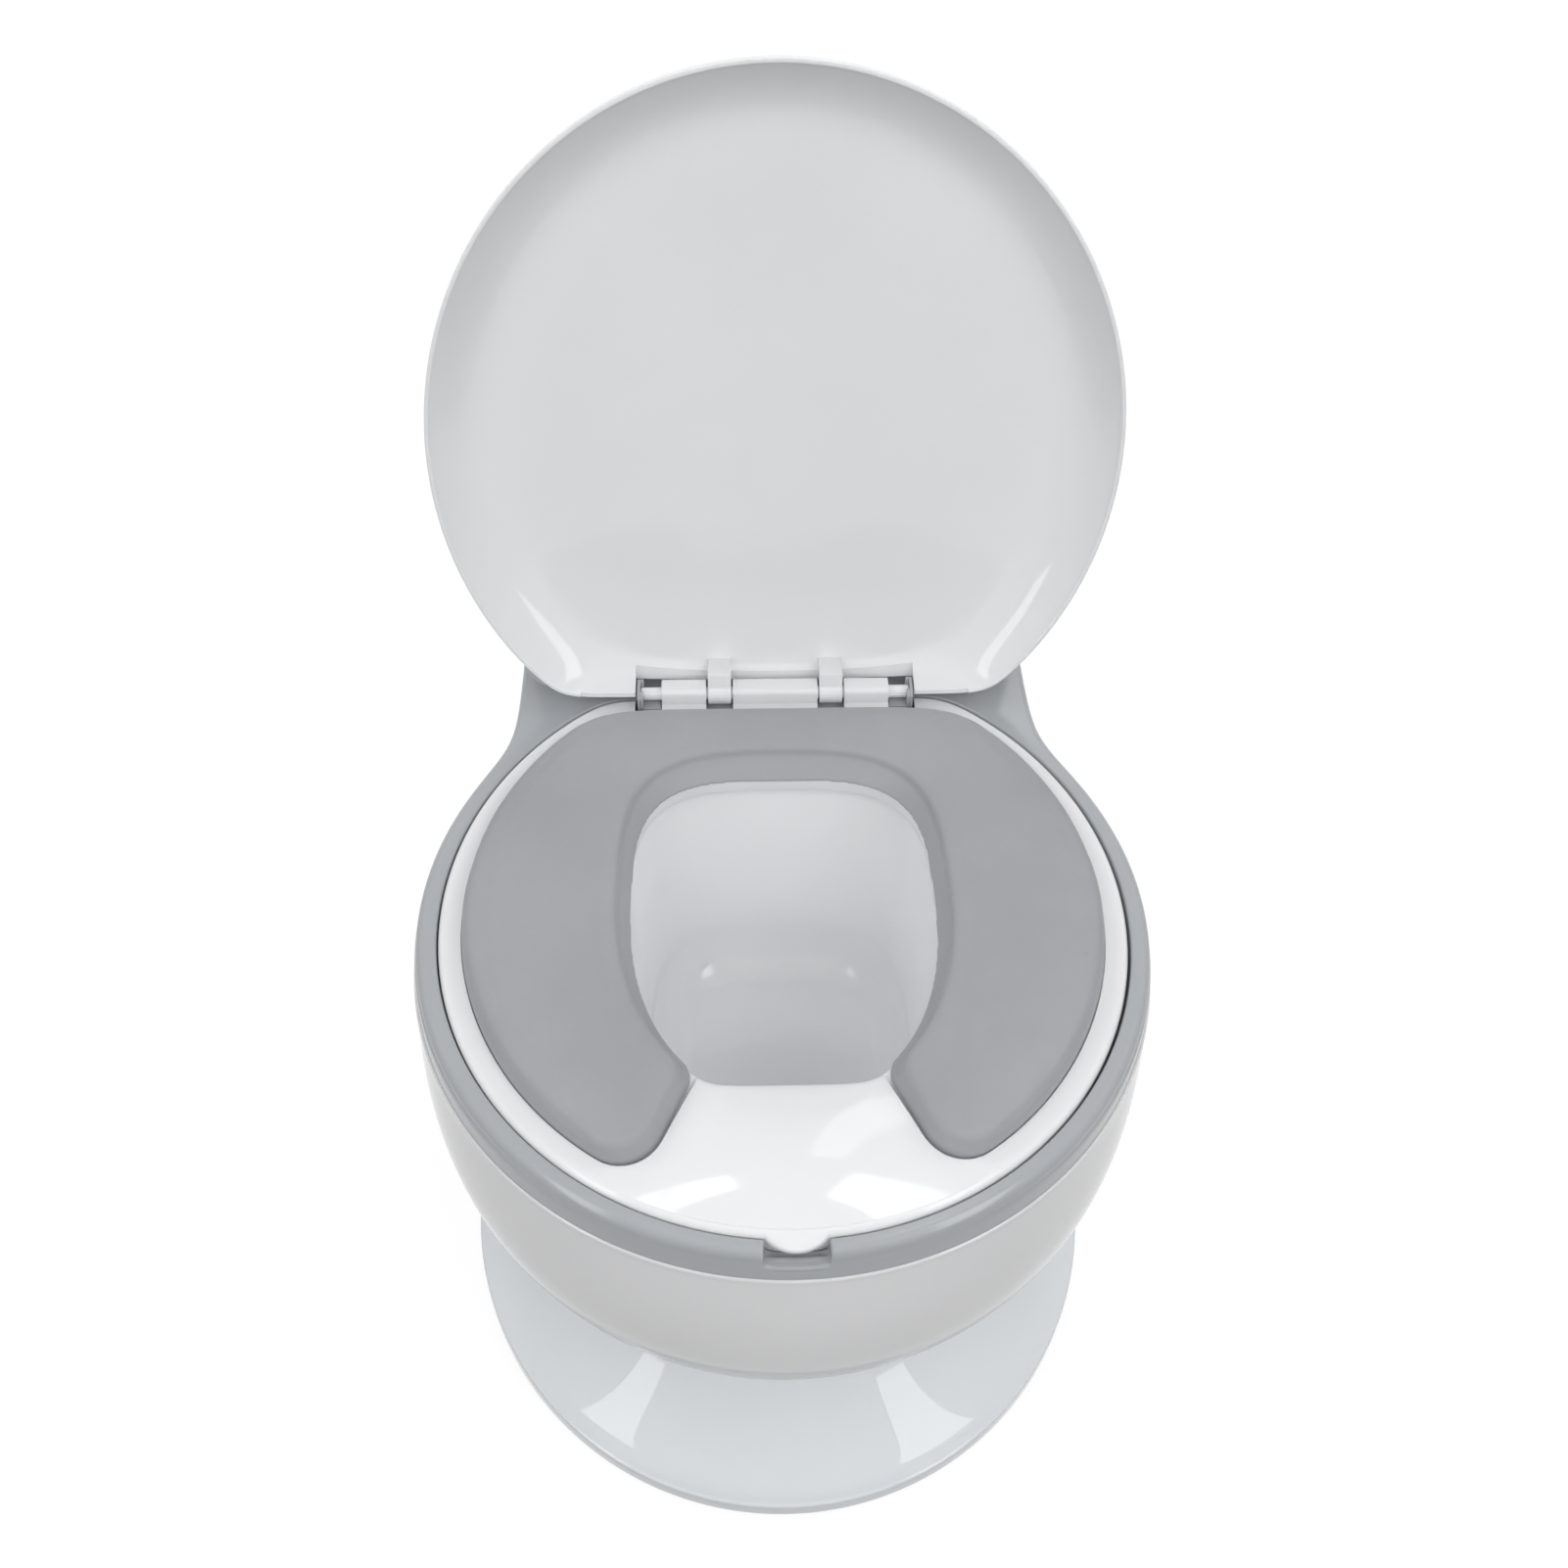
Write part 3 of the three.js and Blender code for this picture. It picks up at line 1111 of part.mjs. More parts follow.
place("foot_base", footBase(), footWhite());
place("bowl_shell", bowlShell(), white());
place("upper_body", upperBody(), grey());
place("tank_cap", tankCap(), grey());
PAD_ANGLES.forEach((angle, i) => {
  const [x, y] = padPlace(angle);
  place(`foot_pad_${i + 1}`, pad(), rubber()).position.set(x, y, 0);
});
FOOT_SCREW_ANGLES.forEach((angle, i) => {
  const [x, y] = footScrewPlace(angle);
  const seat = footHeight(0) - FOOT_WALL - SEAT_GAP;
  place(`foot_screw_${i + 1}`, screw(), steel()).position.set(x, y, seat);
});
POST_ANGLES.forEach((angle, i) => {
  const [x, y] = postPlace(angle);
  const seat = LEDGE_BOTTOM - POST_LENGTH - SEAT_GAP - LUG_THICKNESS - SEAT_GAP;
  place(`body_screw_${i + 1}`, screw(), steel()).position.set(x, y, seat);
});
place("pot", pot(), white());
place("seat_ring", seatRing(), white());
place("seat_cushion", cushion(), softGrey());
place("hinge_pin_left", hingePin(1), white());
place("hinge_pin_right", hingePin(-1), white());

const lidHinge = new THREE.Group();
lidHinge.position.set(0, HINGE_Y, HINGE_Z);
lidHinge.rotation.x = -(Math.PI / 2 + LID_LEAN);
root.add(lidHinge);
place("lid", lidPanel(), white(), lidHinge);

// The part's origin lies on the floor, under the middle of the whole chair with its lid open.
const pottyChair = new THREE.Group();
pottyChair.add(root);
const extent = new THREE.Box3().setFromObject(pottyChair);
root.position.y = -(extent.min.y + extent.max.y) / 2;

export default pottyChair;
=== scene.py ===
import json
import math

import bmesh
import bpy
import numpy as np
from mathutils import Matrix, Vector
from mathutils.kdtree import KDTree


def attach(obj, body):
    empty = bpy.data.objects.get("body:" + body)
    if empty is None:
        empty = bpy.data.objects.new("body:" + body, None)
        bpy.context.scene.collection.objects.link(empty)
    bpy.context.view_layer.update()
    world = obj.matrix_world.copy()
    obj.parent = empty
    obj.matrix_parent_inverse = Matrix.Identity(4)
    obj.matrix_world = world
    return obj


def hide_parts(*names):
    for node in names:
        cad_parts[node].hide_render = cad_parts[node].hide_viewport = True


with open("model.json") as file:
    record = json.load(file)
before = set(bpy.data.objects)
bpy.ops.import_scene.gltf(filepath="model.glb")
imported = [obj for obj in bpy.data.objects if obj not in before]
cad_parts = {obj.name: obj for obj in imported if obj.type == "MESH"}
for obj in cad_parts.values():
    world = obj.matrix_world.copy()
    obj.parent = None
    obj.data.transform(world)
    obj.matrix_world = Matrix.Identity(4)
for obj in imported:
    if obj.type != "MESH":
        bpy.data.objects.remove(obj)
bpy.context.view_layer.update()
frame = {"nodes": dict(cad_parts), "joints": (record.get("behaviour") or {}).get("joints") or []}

# Everything below is drawn in millimetres about the middle of the seat ring, and moved into the
# frame of the part when a mesh is made.
HINGE_Y, HINGE_Z = 126.0, 209.0
hinge_joint = next(j for j in frame["joints"] if j["name"] == "lid_hinge")
SHIFT = hinge_joint["pos_m"][1] * 1000 - HINGE_Y
scene = bpy.context.scene


def metres(points):
    points = np.asarray(points, float)
    return (points + np.array([0.0, SHIFT, 0.0])) / 1000


# Camera

FOCAL_LENGTH, PICTURE_WIDTH = 1846.77, 1601  # in pixels
CAMERA_PLACE = (-24.54, -477.08, 788.46)
elevation, yaw, roll = 0.81552, 0.04918, 0.02328
forward = Vector((
    math.sin(yaw) * math.cos(elevation), math.cos(yaw) * math.cos(elevation), -math.sin(elevation)
))
level = Vector((math.cos(yaw), -math.sin(yaw), 0))
upward = level.cross(forward)
right = math.cos(roll) * level + math.sin(roll) * upward
up = -math.sin(roll) * level + math.cos(roll) * upward
camera_data = bpy.data.cameras.new("camera")
camera_data.sensor_width = 36
camera_data.lens = camera_data.sensor_width * FOCAL_LENGTH / PICTURE_WIDTH
camera = bpy.data.objects.new("camera", camera_data)
facing = Matrix((right, up, -forward)).transposed().to_4x4()
camera.matrix_world = Matrix.Translation(metres(CAMERA_PLACE).tolist()) @ facing
scene.collection.objects.link(camera)
scene.camera = camera

# Outlines. A size that ends in _W is half a width, one in _L the reach to the front, and one in
# _BACK the reach to the back.

RING_W, RING_L, RING_BACK, RING_TOP = 142.5, 151.0, 118.0, 205.0
EAR_BACK, RECESS_HALF = 127.3, 64.5
RIM_W, RIM_L, RIM_TOP, RIM_BOTTOM = 154.6, 159.0, 203.4, 185.9
FRONT_TURN = 155
NECK_W, BODY_BACK = 119.0, 232.0
HOLE_W, HOLE_BACK, HOLE_TAPER, HOLE_FRONT = 64.0, 75.6, 94.5, 85.4
LEDGE_TOP, LEDGE_BOTTOM = 192.0, 189.5
LID_W, LID_L, LID_CENTRE, LID_CHORD = 147.4, 159.9, 120.4, 0.6
LID_LEAN = math.radians(12)
TANK_LOW_W, TANK_TOP_W, TANK_TOP, TANK_REACH = 117, 112, 328.0, 16.4
BOWL_W, BOWL_L, BOWL_TOP, BOWL_BOTTOM = 154.1, 158.5, 185.6, 55
TRUNK_W, TRUNK_BACK, WAIST_W, WAIST_BACK, WAIST_CENTRE = 118.5, 231.5, 88, 200, -15.0
FOOT_W, FOOT_L, HEEL_W, HEEL_BACK, FOOT_CENTRE = 144.2, 154.5, 112, 218, -16.7
FOOT_TOP, FOOT_LOW = 46.7, 9.6
SIDES = ((1, "left"), (-1, "right"))


def between(first, last, share):
    return first + (last - first) * share


def ellipse(w, l, a):
    return 1 / np.hypot(np.cos(a) / w, np.sin(a) / l)


def rounded(w, l, power, a):
    return (np.abs(np.cos(a) / w) ** power + np.abs(np.sin(a) / l) ** power) ** (-1 / power)


def soft_min(power, *radii):
    return sum(r ** -power for r in radii) ** (-1 / power)


def soft_max(power, *radii):
    return sum(r ** power for r in radii) ** (1 / power)


def edge(reach, a):
    """The distance to a straight edge that crosses at a reach in front or behind."""
    towards = np.sin(a) * np.sign(reach)
    return np.where(towards > 1e-4, abs(reach) / np.maximum(towards, 1e-4), 1e6)


def at(radius, a):
    """An outline's radius at one angle."""
    return float(radius(np.array([a]))[0])


def outwards(a, out, aside=0.0):
    """The point that lies out in the direction a, and aside from it."""
    return out * math.cos(a) - aside * math.sin(a), out * math.sin(a) + aside * math.cos(a)


def seat_radius(a):
    return soft_min(50, ellipse(RING_W, RING_L, a), edge(EAR_BACK, a))


def hole_radius(a):
    back = np.sin(a) >= 0
    shape = np.where(back, rounded(HOLE_W, HOLE_BACK, 3.5, a), rounded(HOLE_W, HOLE_TAPER, 2.2, a))
    return soft_min(40, shape, edge(-HOLE_FRONT, a))


def body_radius(w, l, block_w, block_back, a):
    """An oval in front that runs into a block with rounded corners behind."""
    side = block_w / np.maximum(np.abs(np.cos(a)), 1e-4)
    end = np.where(np.sin(a) >= 0, edge(block_back, a), edge(-l, a))
    oval = ellipse(w, l, a)
    return np.where(np.sin(a) >= 0, soft_max(24, oval, soft_min(12, side, end)), oval)


def rim_radius(a):
    return body_radius(RIM_W, RIM_L, NECK_W, BODY_BACK, a)


def crown_radius(a):
    return body_radius(RIM_W - 2.6, RIM_L - 0.8, NECK_W - 0.8, BODY_BACK - 0.8, a)


def bowl_section(share):
    """The centre and the outline of the bowl, from its top at 0 to its waist at 1."""
    swell = 1 + 0.04 * share - 0.396 * share ** 3.2
    trunk = between(TRUNK_W, WAIST_W, share)
    back = between(TRUNK_BACK, WAIST_BACK, share)
    centre = WAIST_CENTRE * share
    return centre, lambda a: body_radius(BOWL_W * swell, BOWL_L * swell, trunk, back - centre, a)


def foot_section(share):
    """The centre and the outline of the foot, from the waist at 0 to its edge at 1."""
    start, waist = bowl_section(1)
    back = HEEL_BACK - FOOT_CENTRE

    def radius(a):
        spread = body_radius(FOOT_W, FOOT_L, HEEL_W, back, a)
        return (waist(a) + 4.6) * (1 - share) + spread * share

    return between(start, FOOT_CENTRE, share), radius


def foot_height(share):
    return FOOT_LOW + (FOOT_TOP - FOOT_LOW) * (1 - share) ** 1.7


def bowl_height(share):
    return between(BOWL_TOP, BOWL_BOTTOM, share)


def make_angles():
    """Angles round an outline, closer together at the back corners and at the notch in front."""
    angles = list(np.linspace(0, 360, 240, endpoint=False))
    angles += list(np.arange(48, 78, 0.5)) + list(np.arange(102, 132, 0.5))
    offsets = [np.arange(0, 6.6, 1.2), np.arange(6.6, 12, 0.3), np.arange(12, 13.6, 0.12)]
    for x in np.concatenate(offsets):
        turn = math.degrees(math.asin(x / FRONT_TURN))
        angles += [270 - turn, 270 + turn]
    return np.radians(np.unique(np.round(np.mod(angles, 360), 3)))


A = make_angles()
DX, DY = np.cos(A), np.sin(A)


def level_ring(radius, z, grow=0.0, centre=0.0):
    r = radius + grow
    return np.stack([r * DX, centre + r * DY, np.broadcast_to(z, r.shape)], 1)


def quarter(count):
    """Angles over a quarter turn, for a rounded edge."""
    return np.linspace(0, math.pi / 2, count)


def round_path(points, steps=5, support=0.25):
    """A path of (out, height, radius) corners with each corner rounded, and a point close to both
    ends of each bend so that the flats beside it stay flat in the shading."""
    path = []
    for i, (x, z, r) in enumerate(points):
        here = np.array([x, z])
        if r <= 0 or i in (0, len(points) - 1):
            path.append(here)
            continue
        before = np.array(points[i - 1][:2]) - here
        after = np.array(points[i + 1][:2]) - here
        room = 0.48 * min(np.linalg.norm(before), np.linalg.norm(after))
        before, after = before / np.linalg.norm(before), after / np.linalg.norm(after)
        half = math.acos(max(-1, min(1, float(before @ after)))) / 2
        reach = min(r / math.tan(half), room)
        r = reach * math.tan(half)
        middle = here + (before + after) / np.linalg.norm(before + after) * r / math.sin(half)
        start, end = here + before * reach - middle, here + after * reach - middle
        turn = math.pi - 2 * half
        path.append(here + before * (reach + support))
        for k in range(steps + 1):
            t = k / steps
            a, b = math.sin((1 - t) * turn), math.sin(t * turn)
            path.append(middle + (start * a + end * b) / math.sin(turn))
        path.append(here + after * (reach + support))
    return path


# Making meshes

BOX_FACES = [(0, 1, 3, 2), (4, 6, 7, 5), (0, 4, 5, 1), (2, 3, 7, 6), (0, 2, 6, 4), (1, 5, 7, 3)]


def mesh_object(name, vertices, faces, smooth=True):
    mesh = bpy.data.meshes.new(name)
    mesh.from_pydata(metres(vertices).tolist(), [], faces)
    made = bmesh.new()
    made.from_mesh(mesh)
    bmesh.ops.remove_doubles(made, verts=made.verts, dist=1e-6)
    bmesh.ops.dissolve_degenerate(made, dist=1e-6, edges=made.edges)
    bmesh.ops.recalc_face_normals(made, faces=made.faces)
    made.to_mesh(mesh)
    made.free()
    if smooth:
        mesh.shade_smooth()
    obj = bpy.data.objects.new(name, mesh)
    scene.collection.objects.link(obj)
    return obj


def loft(name, rings, looped=False, turn=None):
    """A skin over rings of points. turn, if given, places the finished points."""
    rings = [np.asarray(r, float) for r in rings]
    n = len(rings[0])
    faces = []
    spans = len(rings) if looped else len(rings) - 1
    for k in range(spans):
        a, b = k * n, ((k + 1) % len(rings)) * n
        for i in range(n):
            j = (i + 1) % n
            faces.append((a + i, a + j, b + j, b + i))
    vertices = np.concatenate(rings)
    if not looped:
        extra = []
        for start, ring in ((0, rings[0]), ((len(rings) - 1) * n, rings[-1])):
            index = len(vertices) + len(extra)
            extra.append(ring.mean(0))
            faces += [(start + i, start + (i + 1) % n, index) for i in range(n)]
        vertices = np.concatenate([vertices, extra])
    if turn is not None:
        vertices = turn(vertices)
    return mesh_object(name, vertices, faces)


def applied(obj):
    """The object with its modifiers made part of its mesh."""
    bpy.context.view_layer.update()
    shown = obj.evaluated_get(bpy.context.evaluated_depsgraph_get())
    obj.data = bpy.data.meshes.new_from_object(shown)
    obj.modifiers.clear()
    return obj


def smooth_to(obj, sharp):
    """Smooth shading, except over edges that turn by more than sharp degrees."""
    obj.data.shade_smooth()
    obj.data.set_sharp_from_angle(angle=math.radians(sharp))
    return obj


def bevelled(obj, width, segments=3, angle=35):
    bevel = obj.modifiers.new("bevel", "BEVEL")
    bevel.width = width / 1000
    bevel.segments = segments
    bevel.limit_method = "ANGLE"
    bevel.angle_limit = math.radians(angle)
    bevel.harden_normals = False
    return smooth_to(applied(obj), 60)


def carved(obj, cutters):
    for cutter in cutters:
        boolean = obj.modifiers.new("cut", "BOOLEAN")
        boolean.operation = "DIFFERENCE"
        boolean.solver = "EXACT"
        boolean.object = cutter
    applied(obj)
    for cutter in cutters:
        bpy.data.objects.remove(cutter)
    return smooth_to(obj, 32)


def block(name, x0, x1, y0, y1, z0, z1, bevel=0.0, turn=None):
    corners = np.array([(x, y, z) for x in (x0, x1) for y in (y0, y1) for z in (z0, z1)], float)
    if turn is not None:
        corners = turn(corners)
    obj = mesh_object(name, corners, BOX_FACES, smooth=False)
    return bevelled(obj, bevel) if bevel else obj


def prism_faces(n):
    """Faces between a flat outline of n points and the same outline further on."""
    faces = [tuple(range(n)), tuple(range(n, 2 * n))[::-1]]
    return faces + [(i, n + i, n + (i + 1) % n, (i + 1) % n) for i in range(n)]


def across(name, outline, x0, x1, bevel, turn=None):
    """A flat outline of (y, z) points carried across X."""
    points = np.array([(x, y, z) for x in (x0, x1) for y, z in outline], float)
    if turn is not None:
        points = turn(points)
    return bevelled(mesh_object(name, points, prism_faces(len(outline)), smooth=False), bevel)


def post(name, x, y, r, z0, tops):
    """An upright round post whose top may slope: tops gives the height over a point."""
    turns = np.linspace(0, 2 * math.pi, 32, endpoint=False)
    px, py = x + r * np.cos(turns), y + r * np.sin(turns)
    low = np.stack([px, py, np.full(32, z0)], 1)
    high = np.stack([px, py, tops(px, py)], 1)
    return bevelled(loft(name, [low, high]), 0.3, 2, 50)


def to_open_lid(points):
    """From the lid lying shut about its hinge to the lid standing open."""
    turn = -(math.pi / 2 + LID_LEAN)
    x, y, z = points[:, 0], points[:, 1], points[:, 2]
    open_y = y * math.cos(turn) - z * math.sin(turn) + HINGE_Y
    open_z = y * math.sin(turn) + z * math.cos(turn) + HINGE_Z
    return np.stack([x, open_y, open_z], 1)


# Foot

def foot_ring(share, z, grow=0.0):
    centre, radius = foot_section(share)
    return level_ring(radius(A), z, grow, centre)


def make_foot():
    wall, round_edge, slant = 2.6, 1.5, 4.0
    shares = np.linspace(0, 1, 26)
    collar = ((FOOT_TOP, -20), (FOOT_TOP, -0.9), (FOOT_TOP, -0.6), (46.4, -0.1))
    rings = [foot_ring(0, z, grow) for z, grow in collar]
    rings += [foot_ring(s, foot_height(s), -round_edge * s) for s in shares[1:]]
    for t in quarter(7)[1:]:
        z = FOOT_LOW - round_edge + round_edge * math.cos(t)
        rings.append(foot_ring(1, z, -round_edge + round_edge * math.sin(t)))
    lower_edge = (
        (7.9, 0), (1.9, 0), (1.3, -0.2), (1.0, -0.7), (1.0, -2.1), (1.3, -2.5), (6.4, -wall)
    )
    rings += [foot_ring(1, z, grow) for z, grow in lower_edge]
    for s in shares[::-1]:
        rings.append(foot_ring(s, foot_height(s) - wall, -slant * s - wall * (1 - s)))
    rings.append(foot_ring(0, FOOT_TOP - wall, -20))
    return loft("foot", rings, looped=True)


def inner_foot_height(x, y):
    """The height of the foot's ceiling, where the ribs and the bosses end."""
    a = np.arctan2(y + 16, x)
    r = np.hypot(x, y + 16)
    low, high = foot_section(0)[1](a), foot_section(1)[1](a) - 4
    return foot_height(np.clip((r - low) / (high - low), 0, 0.97)) - 1.3


def make_foot_inside():
    rib_count, rib_half, rib_bottom, rib_low_end = 10, 1, 3.6, 4.5
    neck, spread = foot_section(0)[1], foot_section(1)[1]
    pieces = []
    for i in range(rib_count):
        a = (i + 0.5) / rib_count * 2 * math.pi
        start, end = at(neck, a) - 20, at(spread, a) - 2.4
        r = np.linspace(start, end, 22)
        heights = inner_foot_height(r * math.cos(a), r * math.sin(a) + FOOT_CENTRE)
        heights[-1] = rib_low_end
        outline = [(start, rib_bottom)] + list(zip(r, heights)) + [(end, rib_bottom)]
        points = []
        for side in (-rib_half, rib_half):
            for out, z in outline:
                x, y = outwards(a, out, side)
                points.append((x, y + FOOT_CENTRE, z))
        faces = prism_faces(len(outline))
        pieces.append(mesh_object(f"foot_rib_{i + 1}", points, faces, smooth=False))
    for i, a in enumerate(np.radians([62, 118, 232, 308])):
        x, y = outwards(a, at(spread, a) - 20)
        y += FOOT_CENTRE
        pieces.append(post(f"pad_boss_{i + 1}", x, y, 11, 3.3, inner_foot_height))
    return pieces


# Bowl

def bowl_ring(share, z, grow=0.0):
    centre, radius = bowl_section(share)
    return level_ring(radius(A), z, grow, centre)


def make_bowl():
    """The bowl's outside from the lip down to the foot, then its inside back up. Its shoulder
    stands a little proud of the grey band above it."""
    wall, lip, lip_top = 2.6, 2.8, 189.1
    shoulder = (
        (0, lip_top, -lip), (0, 185.7, -lip), (0, 185.7, -0.9), (0, 185.7, -0.3), (0, 185.55, 0.1),
        (0.002, 185.2, 0.35), (0.006, 184.6, 0.4), (0.012, 183.4, 0.2),
    )
    rings = [bowl_ring(*place) for place in shoulder]
    rings += [bowl_ring(s, bowl_height(s)) for s in np.linspace(0.03, 0.985, 36)]
    base = (
        (54.6, 0.15), (52.5, 0.8), (50, 1.7), (48, 2.6), (47.4, 2.75), (47.05, 2.5), (47.0, 2.1),
        (47, -16), (50, -16), (50, -wall),
    )
    rings += [bowl_ring(1, z, grow) for z, grow in base]
    rings += [bowl_ring(s, bowl_height(s), -wall) for s in np.linspace(1, 0.03, 18)]
    rings += [bowl_ring(0, BOWL_TOP, -4.8), bowl_ring(0, lip_top, -4.8)]
    return loft("bowl", rings, looped=True)


def make_screw_posts():
    """The posts, lugs and bosses that the screws hold together, each with its look."""
    radius, lug_half, lug_low, lug_top = 4.6, 7, 174.2, 177.2
    pieces = []
    for i, a in enumerate(np.radians([32, 148, 200, 340, 242, 298])):
        r = float(ellipse(RING_W, RING_L, a)) - 5.5
        x, y = outwards(a, r)
        high = post(f"body_post_{i + 1}", x, y, radius, 177.5, lambda px, py: px * 0 + 190)
        pieces.append((high, "grey"))
        end = at(bowl_section(0.08)[1], a) - 1.3
        points = [
            (*outwards(a, out, aside), z)
            for out in (r - lug_half, end)
            for aside in (-lug_half, lug_half)
            for z in (lug_low, lug_top)
        ]
        lug = mesh_object(f"bowl_lug_{i + 1}", points, BOX_FACES, smooth=False)
        pieces.append((bevelled(lug, 0.3, 2), "white"))
    centre, waist = foot_section(0)
    for i, a in enumerate(np.radians([50, 130, 220, 320])):
        x, y = outwards(a, at(waist, a) - 11.5)
        boss = post(f"bowl_boss_{i + 1}", x, y + centre, radius, 49.5, lambda px, py: px * 0 + 61)
        pieces.append((boss, "white"))
    return pieces


# Upper body: rim and deck in one sweep round, then the tank

NOTCH_HALF, NOTCH_CORNER, NOTCH_FLOOR = 12.0, 5.0, 194.4


def notch_share():
    """For each angle, how far the top of the rim is up from the notch's floor: 0 to 1."""
    x = np.abs(FRONT_TURN * DX)
    front = DY < 0
    into = np.clip(x - (NOTCH_HALF - NOTCH_CORNER), 0, NOTCH_CORNER)
    rise = NOTCH_CORNER - np.sqrt(np.maximum(NOTCH_CORNER ** 2 - into ** 2, 0))
    past = np.clip((x - NOTCH_HALF) / 1.3, 0, 1)
    lip = np.sqrt(np.maximum(1 - (1 - past) ** 2, 0))
    full = RIM_TOP - NOTCH_FLOOR
    side = NOTCH_CORNER + (full - NOTCH_CORNER) * (0.55 + 0.45 * lip)
    height = np.where(x <= NOTCH_HALF, rise, side)
    return np.where(front, np.clip(height / full, 0, 1), 1.0)


def make_rim():
    """The band stands out a little more at its foot. It meets the upright crown in a fine ledge,
    which fades away towards the front, and stands a little inside the white bowl."""
    corner, floor_corner, floor_run, floor_fall, floor_steps = 4, 1.1, 6.05, 0.3, 13
    wall, deck_gap, inner_gap = -3, 11.6, 3.7
    up_share = notch_share()

    def by_notch(plain, low):
        return plain * up_share + low * (1 - up_share)

    rim, crown, seat, hole = rim_radius(A), crown_radius(A), seat_radius(A), hole_radius(A)
    ledge = 0.6 * np.clip((np.abs(DX) - 0.35) / 0.4, 0, 1)
    gap = 1.0 + 0.3 * DX + 0.35 * DY
    shared = [
        (-1.6, 185.9), (-0.9, 185.9), (-0.75, 186.0), (-0.7, 186.3), (-0.45, 189), (-0.2, 192),
        (-0.1, 193.2),
    ]
    plain = [(0, z) for z in (194.4, 196.2, 196.6, 197.0, 197.3, 197.6, 199.2)]
    plain += [(-corner * (1 - math.cos(t)), 199.4 + corner * math.sin(t)) for t in quarter(13)]
    plain.append((-4.15, RIM_TOP))
    low = [
        (-floor_corner * (1 - math.cos(t)), 193.3 + floor_corner * math.sin(t)) for t in quarter(8)
    ]
    for i in range(1, floor_steps + 1):
        run, fall = floor_run * i / floor_steps, floor_fall * i / floor_steps
        low.append((-floor_corner - run, NOTCH_FLOOR - fall))
    rings = []
    for (plain_grow, plain_z), (low_grow, low_z) in zip(shared + plain, shared + low):
        z = by_notch(plain_z, low_z)
        flare = np.clip((197.0 - z) / (197.0 - RIM_BOTTOM), 0, 1)
        step = ledge * np.clip((z - 189) / 7, 0, 1) * np.clip((197.5 - z) / 0.5, 0, 1)
        grow = by_notch(plain_grow, low_grow) + step
        rings.append(level_ring(between(crown, rim, flare), z, grow))
    top_in = by_notch(RIM_TOP, NOTCH_FLOOR - 0.4)
    for grow, drop in ((1.0, 0), (0.8, 0), (0.55, 0.06), (0.22, 0.28), (0.05, 0.6), (0, 0.9)):
        rings.append(level_ring(seat, top_in - drop * up_share, gap + grow))
    rings.append(level_ring(seat, np.minimum(top_in - 1, LEDGE_TOP + 0.6), gap))
    rings += [level_ring(seat, LEDGE_TOP + 0.15, 1.05), level_ring(seat, LEDGE_TOP, 0.6)]
    for drop, grow in ((0, 12.2), (0.3, 11.7), (0.6, deck_gap)):
        rings.append(level_ring(hole, LEDGE_TOP - drop, grow))
    rings += [level_ring(hole, LEDGE_BOTTOM, deck_gap), level_ring(seat, LEDGE_BOTTOM, inner_gap)]
    under = np.minimum(RIM_TOP + wall, top_in - 2.2)
    rings += [level_ring(seat, under, inner_gap), level_ring(crown, under, wall)]
    rings += [level_ring(crown, 197.0, wall), level_ring(rim, 189.4, wall)]
    rings.append(level_ring(rim, RIM_BOTTOM, wall))
    return loft("rim_and_deck", rings, looped=True)


def make_tongue():
    """The part of the deck between the ears of the seat ring, which carries the brackets."""
    half, front, wall = RECESS_HALF - 1.2, RING_BACK + 1.2, 2.5
    top = block("tongue", -half, half, front, 131.2, LEDGE_BOTTOM, RIM_TOP - 0.02, 0.4)
    under = block("under", wall - half, half - wall, front + wall, 135, 180, RIM_TOP - 3)
    return carved(top, [under])


def squared_ring(half_w, front, back, z, fillet=0.0):
    """A ring with square sides and rounded corners. A fillet brings the ends of its front side
    forward."""
    count, power = 128, 6.0
    a = (np.arange(count) + 0.5) / count * 2 * math.pi
    turn = 2 / power
    x = half_w * np.sign(np.cos(a)) * np.abs(np.cos(a)) ** turn
    y = (front + back) / 2 + (back - front) / 2 * np.sign(np.sin(a)) * np.abs(np.sin(a)) ** turn
    y = y - fillet * (np.sin(a) < 0) * np.clip((np.abs(x) - 99) / 8, 0, 1)
    return np.stack([x, y, np.full(count, z)], 1)


def leaning_front(z):
    """The front of the tank, which leans as the open lid does."""
    return HINGE_Y + TANK_REACH / math.cos(LID_LEAN) + (z - HINGE_Z) * math.tan(LID_LEAN)


def tank_ring(z, inset=0.0):
    share = (z - RIM_TOP) / (TANK_TOP - RIM_TOP)
    half_w = between(TANK_LOW_W, TANK_TOP_W, share)
    back = BODY_BACK - (3 + 4 * share)
    above = min(max((z - RIM_TOP) / 9, 0), 1)
    fillet = 0 if inset else 9 * (1 - math.sqrt(1 - (1 - above) ** 2))
    return squared_ring(half_w - inset, leaning_front(z) + inset, back - inset, z, fillet)


def make_tank():
    wall, bottom = 2.6, 195
    heights = [200.6, 203.4, 203.9, 204.6, 205.6, 207, 208.8, 210.8, 212.4, 214]
    heights += list(np.linspace(230, 326.8, 8)) + [327.5]
    rings = [tank_ring(z) for z in heights]
    rings += [tank_ring(327.85, 0.25), tank_ring(328, 0.7), tank_ring(328, 2.3)]
    rings += [tank_ring(z, wall) for z in (327.6, 300, 260, 220, bottom)]
    rings.append(tank_ring(bottom, 1.0))
    return loft("tank", rings, looped=True)


